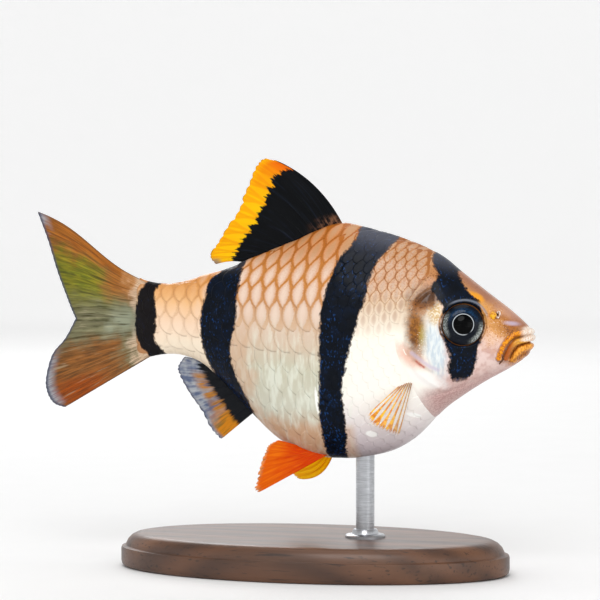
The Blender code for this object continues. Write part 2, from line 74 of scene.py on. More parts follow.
# Head features, seen from the side, in mm.
EYE_AT = (13.95, 32.6)
EYE_RADIUS = 2.8
EYE_THICKNESS = 1.63
SOCKET_DEPTH = 1.3
EYE_SUNK = 0.75
GILL_COVER = (
    (10.00, 36.8), (8.35, 35.6), (7.15, 33.3), (6.55, 31.0), (7.00, 29.0), (8.40, 27.6),
    (10.40, 26.4), (12.40, 26.6), (12.10, 28.2), (10.60, 30.0), (9.95, 32.6), (10.20, 35.0),
)
NOSTRIL_AT = (17.85, 33.75)
LIP_GROOVE = ((21.6, 31.12), (20.4, 30.88), (19.65, 30.25), (19.15, 29.35), (18.75, 28.50))
MAXILLA = ((22.4, 31.50), (21.4, 31.60), (20.3, 31.36), (19.5, 30.75), (18.9, 29.80), (18.5, 28.90), (18.25, 28.25))
UPPER_LIP = ((22.6, 31.05), (21.4, 30.68), (20.4, 30.40), (19.75, 29.75), (19.3, 28.80), (19.1, 28.3))
GAPE = ((22.8, 30.45), (21.7, 30.22), (20.85, 29.98), (20.1, 29.25), (19.6, 28.35))
LOWER_LIP = ((22.5, 29.95), (21.6, 29.72), (20.8, 29.35), (20.3, 28.75), (19.9, 28.10))
CHIN_FOLD = ((21.7, 29.05), (20.7, 28.55), (19.8, 27.85))
PREOPERCLE = ((10.3, 35.2), (9.7, 32.5), (10.0, 29.6), (11.3, 27.4), (13.6, 26.3))
SUBORBITAL = ((16.9, 31.4), (16.3, 29.6), (14.4, 28.6), (12.0, 29.2))
THROAT_LINE = ((18.8, 27.2), (15.0, 25.3), (12.0, 24.0), (9.2, 23.2))
GILL_RIDGE = ((7.3, 28.2), (8.4, 26.4), (10.9, 24.3))
LIP_ROLLS = ((UPPER_LIP, 0.42, 0.44), (LOWER_LIP, 0.42, 0.36), (MAXILLA, 0.36, 0.40), (CHIN_FOLD, 0.35, 0.14))
FOLDS = ((GAPE, 0.12, -0.34), (LIP_GROOVE, 0.12, -0.22), (PREOPERCLE, 0.32, 0.09), (THROAT_LINE, 0.20, -0.08),
         (GILL_RIDGE, 0.30, 0.12), (SUBORBITAL, 0.35, 0.05))
BARBEL = ((18.85, 28.45), (18.65, 28.20), (18.40, 27.95), (18.15, 27.75))

# Scales: rows run along the flank, and every second row is set back by half a scale. The distance
# between rows and between scales goes from the first number in front to the second at the rear.
COAT = 0.12            # depth of the scales over the skin
FLANK_BED = {"rear": -30.2, "front": -2.4, "rows": (3.00, 1.85), "pitch": (1.98, 1.80)}
NAPE_BED = {"rear": -2.3, "front": 11.0, "rows": (1.28, 1.50), "pitch": (1.30, 1.42)}
SCALE_LENGTH = 1.72    # in distances between scales
SCALE_OUTLINE = ((0.0, 0.62), (0.30, 0.80), (0.55, 0.80), (0.72, 0.71), (0.84, 0.58), (0.93, 0.44), (1.0, 0.25))
SCALE_COLUMNS = (-1, -0.84, -0.62, -0.32, 0, 0.32, 0.62, 0.84, 1)
UNWRAP_LENGTH, UNWRAP_GIRTH = 45, 42    # what the bake map spans along the fish and down one side
BAKE_PATCH = 0.0015                     # size of one scale's patch on it
# Painted white highlights on the breast: place along the fish, level, length, height, tilt, softness and raggedness of
# each.
PAINTED_GLINTS = ((2.0, 18.4, 0.75, 0.42, -10, 0.2, 0.5), (7.4, 20.9, 0.9, 0.3, -15, 0.2, 0.5),
              (-4.85, 22.6, 0.22, 1.7, 4, 0.3, 0.4))

# Fins: root and margin points from the leading ray to the last, as in the solids.
DORSAL_ROOT = ((-3.7, 0, 45.1), (-7.0, 0, 44.1), (-11.4, 0, 42.1), (-16.0, 0, 40.3))
DORSAL_MARGIN = ((-12.0, 0, 53.3), (-13.4, 0, 53.6), (-14.8, 0, 52.7), (-16.1, 0, 49.7), (-17.8, 0, 46.2),
                 (-20.0, 0, 42.8), (-21.1, 0, 40.9), (-20.4, 0, 39.7))
ANAL_ROOT = ((-15.5, 0, 20.8), (-17.6, 0, 22.8), (-19.6, 0, 24.7), (-21.7, 0, 26.5))
ANAL_MARGIN = ((-19.7, 0, 16.7), (-21.0, 0, 17.9), (-22.4, 0, 20.5), (-24.0, 0, 22.7),
               (-25.4, 0, 24.9), (-25.7, 0, 26.2), (-24.7, 0, 27.5))
TAIL_ROOT = ((-30.4, 0, 37.0), (-31.1, 0, 36.1), (-31.3, 0, 34.4), (-31.3, 0, 32.2),
             (-31.3, 0, 30.0), (-31.1, 0, 28.3), (-30.4, 0, 27.5))
TAIL_MARGIN_UPPER = ((-45.9, 0, 46.4), (-44.4, 0, 42.6), (-42.9, 0, 38.2), (-41.4, 0, 34.5),
                     (-40.35, 0, 32.2))
TAIL_MARGIN_LOWER = ((-40.35, 0, 32.2), (-41.9, 0, 29.5), (-43.8, 0, 27.3), (-44.75, 0, 24.2), (-44.55, 0, 22.2),
                     (-43.6, 0, 20.8), (-42.0, 0, 20.3))
PECTORAL_ROOT = ((6.45, 5.3, 24.95), (6.9, 5.35, 25.15), (7.35, 5.3, 25.15))
PECTORAL_MARGIN = ((2.4, 8.0, 21.1), (2.9, 8.2, 20.0), (4.1, 8.1, 19.3), (5.4, 7.7, 18.7), (6.3, 7.2, 18.4))
PELVIC_ROOT = ((-5.4, 2.2, 15.2), (-6.9, 2.4, 15.5), (-8.6, 2.5, 16.1))
PELVIC_MARGIN_RIGHT = ((-13.3, 4.6, 10.3), (-13.6, 4.7, 11.3), (-12.9, 4.7, 13.6), (-12.3, 4.5, 15.5),
                       (-11.8, 4.2, 16.6), (-10.8, 3.7, 17.2))
PELVIC_MARGIN_LEFT = ((-10.9, 6.3, 11.2), (-11.9, 6.4, 12.2), (-12.2, 6.0, 13.8), (-12.0, 5.3, 15.4),
                      (-11.2, 4.4, 16.5))
FIRST_SPREAD, SECOND_SPREAD = 0.24, 0.12    # how far the branches of a ray part, in distances between rays

# Dark bars: the rear and front edge of each, as places along the fish at falling levels.
BARS = {
    "eye": (((42.5, 9.1), (39.8, 9.8), (38.8, 10.4), (37.2, 9.8), (36.1, 10.5), (34.7, 11.4), (32.0, 11.2),
             (30.0, 11.9), (28.5, 12.3), (26.8, 12.0), (25.4, 12.3)),
            ((42.5, 12.0), (39.6, 12.4), (38.2, 13.1), (36.6, 14.4), (35.6, 15.5), (34.0, 16.2), (31.0, 16.3),
             (29.6, 15.8), (27.7, 15.4), (26.4, 14.9), (25.4, 13.9))),
    "shoulder": (((45.5, -0.6), (43.5, -0.5), (40.6, -2.5), (38.5, -3.2), (35.6, -4.0), (30.5, -4.4),
                  (27.3, -4.3), (20.1, -4.6), (17.4, -4.5), (14.5, -4.3)),
                 ((45.5, 4.9), (43.5, 4.6), (40.6, 2.7), (38.5, 1.9), (35.6, 1.3), (30.5, -0.1),
                  (27.3, -0.9), (24.5, -1.4), (19.0, -1.2), (14.5, -1.9))),
    "flank": (((41.5, -18.9), (38.7, -19.5), (38.0, -20.4), (35.5, -21.0), (31.4, -21.5), (28.8, -21.3),
               (26.6, -20.6), (22.0, -19.5)),
              ((41.5, -15.9), (38.6, -16.1), (36.0, -16.3), (33.0, -16.3), (30.2, -16.9), (28.6, -17.2),
               (25.6, -16.6), (23.8, -15.8), (21.8, -15.0), (19.5, -14.3))),
    "tail": (((38.0, -29.4), (37.0, -30.1), (35.3, -31.0), (32.8, -31.4), (30.6, -31.4), (28.8, -30.5), (27.0, -29.2)),
             ((38.0, -27.6), (36.1, -28.4), (33.8, -28.2), (31.6, -28.2), (29.4, -28.4), (28.5, -27.6),
              (27.0, -27.2))),
}
BAR_LEVELS = (14.0, 46.0)     # the levels and places that the curves and ramps of the markings span
BAR_PLACES = (-34.0, 24.0)
# The bars' colours: near black, the blue of the glints, and the grey of the painted sheen along the back.
NAVY, NAVY_BLUE, BAR_SHEEN_GREY = (8, 13, 21), (20, 62, 116), (98, 100, 112)

# Stand.
BASE_LENGTH, BASE_WIDTH, BASE_HEIGHT = 52.0, 28.0, 4.5
BASE_MIDDLE = -7.0
BASE_EDGE = ((1.0, 0.0), (0.45, 0.10), (0.12, 0.35), (0, 0.8), (0, 2.35), (0.10, 2.62), (0.45, 2.72), (0.62, 2.80),
             (0.70, 3.05), (0.95, 3.55), (1.45, 4.05), (2.1, 4.36), (2.9, 4.48), (3.8, 4.5))    # inward, level
ROD_RADIUS = 1.2

# View: how far the camera is swung towards the head and raised, and where it looks.
VIEW_SWING, VIEW_RAISE = 16.0, 3.0
VIEW_CENTRE = (-8.8, 0.0, 35.2)
VIEW_WIDTH = 78.0
LENS = 200.0

# Studio: the paper's (radius, level) from the middle out, and each lamp's place, size and power.
PAPER_PROFILE = ((60, 0), (500, 0), (900, 0), (1250, 60), (1500, 320), (1600, 1000))
LAMPS = (
    ("key", (40, -330, 310), 240, 0.78),
    ("fill", (330, -240, 60), 240, 0.16),
    ("top", (-20, 40, 400), 300, 0.26),
    ("back", (-160, 330, 260), 240, 0.50),
)


def srgb(red, green, blue):
    """A colour given as 0 to 255, as the linear values that a shader takes."""
    def linear(value):
        value /= 255
        return value / 12.92 if value <= 0.04045 else ((value + 0.055) / 1.055) ** 2.4
    return (linear(red), linear(green), linear(blue), 1.0)


# Curves and surfaces

def curve(points, places):
    """Catmull-Rom through points, at places that run from 0 to len(points) - 1."""
    p = np.asarray(points, float)
    p = np.vstack([2 * p[0] - p[1], p, 2 * p[-1] - p[-2]])
    places = np.clip(np.asarray(places, float), 0, len(p) - 3)
    i = np.minimum(places.astype(int), len(p) - 4)
    f = (places - i)[..., None]
    a, b, c, d = p[i], p[i + 1], p[i + 2], p[i + 3]
    return 0.5 * (2 * b + (c - a) * f + (2 * a - 5 * b + 4 * c - d) * f**2 + (3 * b - a - 3 * c + d) * f**3)


def along(points, shares):
    return curve(points, np.asarray(shares, float) * (len(points) - 1))


DENSE = curve(BODY_STATIONS, np.linspace(0, len(BODY_STATIONS) - 1, 1500))[::-1]


def station(x):
    """Back, belly, half width, level and the two fullnesses at places along the fish."""
    return [np.interp(x, DENSE[:, 0], DENSE[:, k]) for k in range(1, 7)]


def section(x, angle):
    """Points of the body at places along it and angles from the top, where +angle is the left side."""
    back, belly, half, level, upper, lower = station(x)
    widest = belly + (back - belly) * level
    up, side = np.cos(angle), np.sin(angle)
    height = np.where(up > 0, back - widest, widest - belly)
    fullness = np.where(up > 0, upper, lower)
    y = np.sign(side) * half * np.abs(side) ** fullness
    return np.stack([x + 0 * y, y, widest + height * up], -1)


def flank(x, z):
    """Half of the body's width at a place along it and a level."""
    back, belly, half, level, upper, lower = station(x)
    widest = belly + (back - belly) * level
    above = z > widest
    height = np.where(above, back - widest, widest - belly)
    reach = np.clip(np.abs(z - widest) / height, 0, 1)
    return half * np.sqrt(1 - reach**2) ** np.where(above, upper, lower)


def flank_normal(x, z, side):
    step = 0.4
    slope_x = (flank(x + step, z) - flank(x - step, z)) / (2 * step)
    slope_z = (flank(x, z + step) - flank(x, z - step)) / (2 * step)
    return Vector((-slope_x, side, -slope_z)).normalized()


def sweep(points):
    """Bends points sideways more and more towards the end of the tail."""
    points = np.array(points, float)
    behind = np.clip((SWEEP_FROM - points[..., 0]) / (SWEEP_FROM - SWEEP_TO), 0, None)
    points[..., 1] += SWEEP * behind**2
    return points


def smooth(value, low, high):
    t = np.clip((value - low) / (high - low), 0, 1)
    return t * t * (3 - 2 * t)


def unit(vectors):
    """Vectors of length 1 in the same directions."""
    return vectors / (np.linalg.norm(vectors, axis=-1, keepdims=True) + 1e-12)


def outward(directions, points, middle):
    """Directions of length 1, each turned away from the middle of the body."""
    return unit(directions * np.sign((directions * (points - middle)).sum(-1, keepdims=True)))


def distance_to_spans(x, z, line):
    """The distance to a row of straight spans in the side view."""
    best = np.inf
    for (ax, az), (bx, bz) in zip(line[:-1], line[1:]):
        dx, dz = bx - ax, bz - az
        share = np.clip(((x - ax) * dx + (z - az) * dz) / (dx * dx + dz * dz), 0, 1)
        best = np.minimum(best, np.hypot(x - ax - share * dx, z - az - share * dz))
    return best


def distance_to_line(x, z, points, steps=24):
    """The distance to a smooth line in the side view."""
    return distance_to_spans(x, z, along(points, np.linspace(0, 1, steps)))


def inside_outline(x, z, points):
    """The distance inside a closed smooth outline, negative outside."""
    ring = np.array([points[-1], *points, points[0], points[1]])
    line = curve(ring, np.linspace(1, len(points) + 1, 6 * len(points) + 1))
    inside = np.zeros(np.shape(x), bool)
    for (ax, az), (bx, bz) in zip(line[:-1], line[1:]):
        at = ax + (z - az) / (bz - az if bz != az else 1e-9) * (bx - ax)
        inside ^= ((az > z) != (bz > z)) & (x < at)
    best = distance_to_spans(x, z, line)
    return np.where(inside, best, -best)


def roll(distance, radius, height):
    """A rounded ridge over a distance from its middle line."""
    return height * np.sqrt(np.clip(1 - (distance / radius) ** 2, 0, 1)) ** 1.3


def soft_ridge(distance, width, height):
    """A ridge that fades out with distance, or a groove where its height is negative."""
    return height * np.exp(-((distance / width) ** 2))


def relief(x, z):
    """How far the skin stands out of the plain body at a place in the side view."""
    from_eye = np.hypot(x - EYE_AT[0], z - EYE_AT[1])
    out = soft_ridge(from_eye - EYE_RADIUS - 0.16, 0.24, 0.17)
    out -= SOCKET_DEPTH * (1 - smooth(from_eye, 2.2, EYE_RADIUS + 0.02))
    out += np.max([roll(distance_to_line(x, z, line), radius, height) for line, radius, height in LIP_ROLLS], axis=0)
    for line, width, height in FOLDS:
        out += soft_ridge(distance_to_line(x, z, line), width, height)
    from_nostril = np.hypot((x - NOSTRIL_AT[0] - 0.12) / 0.8, (z - NOSTRIL_AT[1]) / 1.3)
    out += soft_ridge(from_nostril, 0.26, -0.35)
    plate = inside_outline(x, z, GILL_COVER)
    rear = 1 - smooth(x, 9.4, 10.8)
    out += rear * (0.24 * smooth(plate, -0.05, 0.30) + soft_ridge(plate + 0.22, 0.20, -0.10))
    return out - COAT * scaled(x, z)


def coat_front(z):
    """Where the scales begin behind the head, at a level."""
    levels = (14.0, 18.0, 21.0, 24.0, 26.5, 29.0, 31.0, 33.3, 35.6, 37.2, 39.0, 42.5)
    fronts = (12.0, 11.0, 9.8, 8.4, 7.2, 6.2, 5.9, 6.5, 7.2, 8.4, 9.7, 9.5)
    return np.interp(z, levels, fronts)


def scaled(x, z):
    """1 where scales cover the skin, 0 on the head."""
    return smooth(coat_front(z) - x, 0.0, 0.8)


def turns(count):
    """Angles evenly round a circle."""
    return [2 * math.pi * k / count for k in range(count)]


def put_in_scene(name, data):
    """A new object in the scene."""
    made = bpy.data.objects.new(name, data)
    bpy.context.scene.collection.objects.link(made)
    return made


def settle(piece, slot, *nodes):
    """Hides the solids that a piece stands for and hangs it on the root. The slot, what it is made of, is not used."""
    if nodes:
        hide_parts(*nodes)
    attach(piece, "root")


def add_map(mesh, name, places):
    """Adds a UV map that gives each point its place."""
    corners = np.empty(len(mesh.loops), np.int32)
    mesh.loops.foreach_get("vertex_index", corners)
    mesh.uv_layers.new(name=name).data.foreach_set("uv", np.asarray(places, np.float32)[corners].ravel())


def make_piece(name, points, faces, look, uv=None, bake=None):
    """A smooth mesh piece from points in millimetres."""
    mesh = bpy.data.meshes.new(name)
    faces = faces.tolist() if isinstance(faces, np.ndarray) else faces
    mesh.from_pydata((np.asarray(points) * MM).tolist(), [], faces)
    mesh.update()
    for map_name, places in (("Local", uv), ("OFBake", bake)):
        if places is not None:
            add_map(mesh, map_name, places)
    mesh.materials.append(look)
    mesh.polygons.foreach_set("use_smooth", [True] * len(mesh.polygons))
    return put_in_scene(name, mesh)


def face_out(piece, merge=0.0):
    """Turns every face outward, once points nearer to each other than a distance are one."""
    bm = bmesh.new()
    bm.from_mesh(piece.data)
    if merge:
        bmesh.ops.remove_doubles(bm, verts=bm.verts, dist=merge)
    bmesh.ops.recalc_face_normals(bm, faces=bm.faces)
    bm.to_mesh(piece.data)
    bm.free()
    return piece


def grid_faces(columns, rows, start=0, wrap=False, flip=False):
    """Quads between the points of a grid that is stored column by column."""
    c = np.arange(columns if wrap else columns - 1)
    r = np.arange(rows - 1)
    a = (c[:, None] * rows + r[None, :]).ravel()
    b = (((c + 1) % columns)[:, None] * rows + r[None, :]).ravel()
    quads = np.stack([a, b, b + 1, a + 1], 1) + start
    return quads[:, ::-1] if flip else quads


def ring_faces(rings, sides, capped=False):
    """Quads between rings of points stored one after another, and a face over each end if capped."""
    a = np.arange((rings - 1) * sides).reshape(-1, sides)
    b = np.roll(a, -1, 1)
    faces = np.stack([a, b, b + sides, a + sides], -1).reshape(-1, 4).tolist()
    if capped:
        faces += [list(range(sides - 1, -1, -1)), list(range((rings - 1) * sides, rings * sides))]
    return faces


def closed_sheet_faces(columns, rows):
    """Faces of two like grids, one behind the other, joined round their edge."""
    back = columns * rows
    quads = [grid_faces(columns, rows), grid_faces(columns, rows, back, flip=True)]
    edge = [c * rows for c in range(columns)]
    edge += [(columns - 1) * rows + r for r in range(1, rows)]
    edge += [c * rows + rows - 1 for c in range(columns - 2, -1, -1)]
    edge += list(range(rows - 2, 0, -1))
    edge = np.array(edge)
    following = np.roll(edge, -1)
    quads.append(np.stack([edge, edge + back, following + back, following], 1))
    return np.vstack(quads)


# Shader maths

class Value:
    """A socket in a material. Operators on it add Math nodes."""

    def __init__(self, tree, socket):
        self.tree = tree
        self.socket = socket

    def math(self, operation, *others):
        return add_node(self.tree, "ShaderNodeMath", {"operation": operation}, dict(enumerate((self, *others))))

    def __add__(self, other):
        return self.math("ADD", other)

    def __sub__(self, other):
        return self.math("SUBTRACT", other)

    def __mul__(self, other):
        return self.math("MULTIPLY", other)

    def __truediv__(self, other):
        return self.math("DIVIDE", other)

    def __rsub__(self, other):
        return add_node(self.tree, "ShaderNodeMath", {"operation": "SUBTRACT"}, {0: other, 1: self})

    def __abs__(self):
        return self.math("ABSOLUTE")

    __radd__ = __add__
    __rmul__ = __mul__

    def most(self, other):
        """The greater of two values."""
        return self.math("MAXIMUM", other)

    def least(self, other):
        """The smaller of two values."""
        return self.math("MINIMUM", other)

    def step(self, low, high):
        """0 up to low and 1 from high, smooth between. Low may be the higher number."""
        return add_node(self.tree, "ShaderNodeMapRange", {"interpolation_type": "SMOOTHSTEP"},
                        {"Value": self, "From Min": low, "From Max": high})

    def near(self, middle, width):
        """1 at a number and 0 a width away from it."""
        return abs(self - middle).step(width, 0.0)

    def curve(self, points):
        """A smooth function through (input, output) points, both from 0 to 1."""
        return add_node(self.tree, "ShaderNodeFloatCurve", {"points": points}, {"Value": self})


def distance(across, up):
    """The length of a step that has two parts."""
    return (across * across + up * up).math("SQRT")


def add_node(tree, kind, settings=None, inputs=None, output=0):
    """Adds a node, with its settings first and then the values or links of its sockets."""
    node = tree.nodes.new(kind)
    for name, value in (settings or {}).items():
        if name == "points":
            line = node.mapping.curves[0]
            for spare in range(len(value) - 2):
                line.points.new(0.5, 0.5)
            for point, place in zip(line.points, sorted(value)):
                point.location = place
            node.mapping.update()
        elif name == "stops":
            ramp = node.color_ramp
            for spare in range(len(value) - 2):
                ramp.elements.new(0.5)
            for stop, (place, colour) in zip(ramp.elements, value):
                stop.position = place
                stop.color = colour
        else:
            setattr(node, name, value)
    for name, value in (inputs or {}).items():
        socket = node.inputs[name]
        if isinstance(value, Value):
            tree.links.new(value.socket, socket)
        else:
            socket.default_value = value
    return Value(tree, node.outputs[output])


def mix(low, high, share):
    """A colour between two colours. Three numbers are a colour given as 0 to 255."""
    low, high = (srgb(*c) if isinstance(c, tuple) and len(c) == 3 else c for c in (low, high))
    tree = next(v.tree for v in (share, low, high) if isinstance(v, Value))
    return add_node(tree, "ShaderNodeMix", {"data_type": "RGBA"}, {0: share, 6: low, 7: high}, 2)


def layered(colour, *layers):
    """A colour with (colour, share) layers laid over it in turn."""
    for over, share in layers:
        colour = mix(colour, over, share)
    return colour


class Surface:
    """A material being made, with its Principled shader and its coordinates in millimetres."""

    def __init__(self, name, **fixed):
        self.material = bpy.data.materials.new(name)
        self.material.use_nodes = True
        self.tree = self.material.node_tree
        self.shader = self.tree.nodes["Principled BSDF"]
        self.noises = {}
        self.paint(**fixed)
        place = add_node(self.tree, "ShaderNodeTexCoord", output=3)
        self.place = add_node(self.tree, "ShaderNodeVectorMath", {"operation": "SCALE"}, {0: place, "Scale": 1000.0})
        self.x, self.y, self.z = self.parts(self.place, 3)

    def parts(self, vector, count):
        return [add_node(self.tree, "ShaderNodeSeparateXYZ", inputs={0: vector}, output=k) for k in range(count)]

    def local(self):
        """The two numbers of the piece's own Local map."""
        return self.parts(add_node(self.tree, "ShaderNodeUVMap", {"uv_map": "Local"}), 2)

    def noise(self, size, detail=2.0, stretch=(1, 1, 1)):
        """Cloudy noise from 0 to 1, with blobs of about a size in millimetres. Like noises are made once."""
        key = size, detail, stretch
        if key not in self.noises:
            where = add_node(self.tree, "ShaderNodeMapping", inputs={0: self.place, "Scale": stretch})
            self.noises[key] = add_node(self.tree, "ShaderNodeTexNoise",
                                        inputs={"Vector": where, "Scale": 1 / size, "Detail": detail})
        return self.noises[key]

    def streaks(self, across, along_it, detail=3.0):
        """Noise drawn out along the rays of a fin."""
        u, v = self.local()
        place = add_node(self.tree, "ShaderNodeCombineXYZ", inputs={0: u * across, 1: v * along_it})
        return add_node(self.tree, "ShaderNodeTexNoise", inputs={"Vector": place, "Scale": 1.0, "Detail": detail})

    def from_point(self, point):
        """The distance to a point of the side view."""
        return distance(self.x - point[0], self.z - point[1])

    def from_line(self, points):
        """Roughly the distance to a line across the side view, as the least over its spans."""
        best = None
        for (ax, az), (bx, bz) in zip(points[:-1], points[1:]):
            dx, dz = bx - ax, bz - az
            size = dx * dx + dz * dz
            share = ((self.x - ax) * (dx / size) + (self.z - az) * (dz / size)).most(0.0).least(1.0)
            span = distance(self.x - ax - share * dx, self.z - az - share * dz)
            best = span if best is None else best.least(span)
        return best

    def patch(self, x, z, long, high, tilt=0.0, soft=0.35, rough=0.5):
        """1 inside a ragged oval of the side view, 0 outside."""
        turn = math.radians(tilt)
        dx, dz = self.x - x, self.z - z
        u = (dx * math.cos(turn) + dz * math.sin(turn)) / long
        v = (dz * math.cos(turn) - dx * math.sin(turn)) / high
        grain = self.noise(0.7, 5.0) * 0.7 + self.noise(0.2, 3.0) * 0.3 - 0.5
        return (distance(u, v) + grain * (2.0 * rough)).step(1.0 + soft, 1.0 - soft)

    def paint(self, **values):
        """Gives sockets of the shader their numbers, colours or links."""
        for name, value in values.items():
            socket = self.shader.inputs[name.replace("_", " ")]
            if isinstance(value, Value):
                self.tree.links.new(value.socket, socket)
            else:
                socket.default_value = value
        return self

    def bump(self, height, rise, strength=1.0):
        """Raises the surface by a height from 0 to 1, times a rise in millimetres."""
        normal = add_node(self.tree, "ShaderNodeBump",
                          inputs={"Height": height, "Distance": rise * MM, "Strength": strength})
        return self.paint(Normal=normal)

    def let_light_through(self, tint, share):
        """Mixes in a translucent shader of one colour, for thin tissue."""
        thin = add_node(self.tree, "ShaderNodeBsdfTranslucent", inputs={"Color": srgb(*tint)})
        both = add_node(self.tree, "ShaderNodeMixShader",
                        inputs={0: share, 1: Value(self.tree, self.shader.outputs[0]), 2: thin})
        self.tree.links.new(both.socket, self.tree.nodes["Material Output"].inputs["Surface"])
        return self


# Markings

def edge_of_bar(surface, points, wobble):
    """1 in front of a bar's edge, which is given at several levels."""
    low, high = BAR_LEVELS
    rear, front = BAR_PLACES
    level = (surface.z - low) / (high - low)
    places = [((z - low) / (high - low), (x - rear) / (front - rear)) for z, x in points]
    places = [(0.0, places[-1][1]), *reversed(places), (1.0, places[0][1])]
    edge = level.curve(places) * (front - rear) + rear
    return (surface.x - edge + wobble).step(-0.16, 0.16)


def bars(surface):
    """How dark the bars make the skin."""
    wobble = (surface.noise(0.34, 4.0, (1, 1, 0.6)) - 0.5) * 0.9 + (surface.noise(1.3) - 0.5) * 0.5
    dark = None
    for name, (rear, front) in BARS.items():
        here = edge_of_bar(surface, rear, wobble) * (1 - edge_of_bar(surface, front, wobble))
        if name == "eye":
            here = here * (surface.z + wobble).step(25.1, 25.8)
        dark = here if dark is None else dark.most(here)
    return dark


def body_colour(surface):
    """The ground colour of the skin and the scales, without bars."""
    flank = levels(surface, (16.0, (174, 130, 98)), (18.5, (188, 156, 126)), (21.5, (204, 202, 184)),
                   (26.5, (196, 192, 170)), (30.0, (208, 188, 166)), (34.5, (214, 184, 162)),
                   (39.5, (212, 162, 126)), (43.5, (198, 128, 74)))
    stalk = levels(surface, (26.0, (240, 220, 192)), (29.0, (246, 230, 206)), (32.0, (240, 210, 182)),
                   (35.0, (230, 180, 126)), (37.8, (208, 138, 66)))
    front = levels(surface, (14.8, (160, 150, 156)), (17.0, (204, 192, 196)), (20.0, (232, 224, 222)),
                   (23.5, (248, 244, 236)), (31.0, (246, 240, 226)), (35.0, (220, 194, 164)),
                   (38.5, (198, 152, 114)), (43.5, (190, 138, 94)))
    colour = mix(flank, stalk, surface.x.step(-15.5, -20.5))
    fin_foot = levels(surface, (29.0, (176, 126, 84)), (31.5, (150, 140, 116)), (33.5, (160, 158, 138)),
                      (35.5, (214, 176, 138)), (37.5, (190, 128, 70)))
    colour = mix(colour, fin_foot, surface.x.step(-29.0, -29.8))
    return mix(colour, front, surface.x.step(-3.6, -1.2))


def head_colour(surface, ground):
    """The ground with the colours of the head in front of the scales."""
    x, z, patch = surface.x, surface.z, surface.patch
    soft = (surface.noise(1.4, 3.0) - 0.5) * 1.6
    speckle = surface.noise(0.24, 4.0)
    fleck = speckle.step(0.50, 0.66)
    dust = surface.noise(0.16, 2.0).step(0.62, 0.70)
    grit = dust * 0.6 + fleck * 0.15
    slope = z + x * 0.78 + soft * 0.5
    head = x.step(8.6, 11.5)
    muzzle = (x + soft).step(16.6, 18.8) * (z + soft * 0.6).step(32.6, 34.0)
    wedge = surface.from_line(((17.9, 33.5), (18.6, 33.5), (19.4, 32.9), (19.9, 32.4))) + (speckle - 0.5) * 0.5
    golden = patch(17.3, 32.2, 1.7, 2.3, 10, 0.8, 0.8)
    streaky = surface.noise(0.7, 3.0, (2.2, 1, 0.5)).step(0.38, 0.62)
    rust = mix((156, 98, 34), (104, 62, 24), (speckle * 0.5 + surface.noise(0.8, 3.0) * 0.5).step(0.40, 0.62))
    rust = mix(rust, (172, 148, 26), x.step(8.3, 9.0) * z.near(31.2, 2.4) * 0.8)
    lilac = surface.from_line(((7.65, 29.0), (8.9, 28.0), (9.9, 27.2), (10.8, 26.8))).step(0.42, 0.02)
    red = (surface.from_line(((8.2, 27.9), (8.7, 27.45), (9.1, 27.2))) + (speckle - 0.5) * 0.3).step(0.30, 0.0)
    from_eye = surface.from_point(EYE_AT)
    colour = layered(
        ground,
        # Cheek and throat
        (mix((230, 204, 196), (208, 170, 160), surface.noise(1.2, 3.0).step(0.4, 0.65)),
         (x + soft).step(9.4, 11.4) * z.step(37.5, 35.5)),
        (mix((200, 166, 160), (182, 144, 140), speckle.step(0.4, 0.6)),
         (z - x * 0.30 + soft).step(22.6, 20.0) * x.step(6.0, 10.5)),
        # Forehead, crown, muzzle and snout
        (mix((218, 156, 82), (184, 116, 54), grit), slope.step(44.6, 46.6) * head),
        (mix((164, 112, 84), (122, 84, 66), grit), slope.step(47.4, 48.8) * head),
        (mix((190, 142, 120), (152, 104, 84), grit), muzzle * 0.8),
        ((146, 80, 40), wedge.step(0.55, 0.05) * 0.8),
        (mix((158, 92, 38), (96, 54, 26), fleck), patch(18.9, 32.2, 1.9, 0.85, -24, 0.6, 0.6)),
        # Painted lilac highlight on the top of the snout
        ((186, 170, 190), patch(19.65, 32.75, 0.85, 0.24, -8, 0.7, 0.3) * 0.9),
        (mix((226, 166, 94), (190, 112, 38), fleck), golden * (0.55 + fleck * 0.4)),
        ((250, 240, 226), golden * dust * 0.8),
        ((232, 154, 34), patch(15.3, 36.1, 1.0, 0.34, -32, 0.5, 0.4) * 0.9),
        # Silver, tan and salmon of the gill cover
        (mix((200, 212, 220), (230, 235, 234), streaky), patch(10.55, 29.6, 1.2, 3.7, 8, 0.45, 0.3)),
        (mix((212, 180, 130), (238, 226, 204), speckle.step(0.44, 0.62)), patch(10.5, 34.3, 0.9, 1.6, 6, 0.5, 0.6)),
        ((226, 176, 154), patch(7.5, 28.5, 2.0, 1.0, -38, 0.7, 0.4) * 0.85),
        # Its brown rear, and the dark corner over it, which is dark brown skin with painted shade where the gill cover
        # meets the body
        (rust, patch(8.1, 31.9, 1.2, 3.2, 4, 0.6, 0.40)),
        (mix((164, 98, 36), (84, 48, 24), fleck), patch(8.9, 35.5, 1.8, 1.2, 24, 0.6, 0.7)),
        (mix((182, 124, 76), (128, 78, 42), fleck), patch(10.1, 38.4, 1.3, 3.0, -16, 0.6, 0.5)),
        ((58, 36, 24), patch(9.5, 36.1, 1.7, 1.1, 22, 0.8, 0.4) * 0.9),
        ((244, 240, 228), patch(9.1, 30.0, 0.9, 2.1, 0, 0.5, 0.5) * dust),
        # The folds under it, the shoulder girdle and the ring round the eye
        ((196, 184, 206), lilac * 0.6),
        ((200, 92, 76), red * 0.8),
        ((244, 240, 236), patch(9.2, 25.6, 2.3, 0.8, -22, 0.6, 0.5) * 0.9),
        (mix((170, 110, 44), (100, 62, 34), fleck), from_eye.near(EYE_RADIUS + 0.10, 0.20) * 0.85),
    )
    return colour, from_eye, speckle


def eyelid(surface, from_eye, colour):
    """The thin pale fold over the eye."""
    level = surface.z - EYE_AT[1] + (surface.x - EYE_AT[0]) * 0.35
    return mix(colour, (128, 134, 146), from_eye.near(EYE_RADIUS + 0.30, 0.22) * level.step(1.5, 2.7) * 0.7)


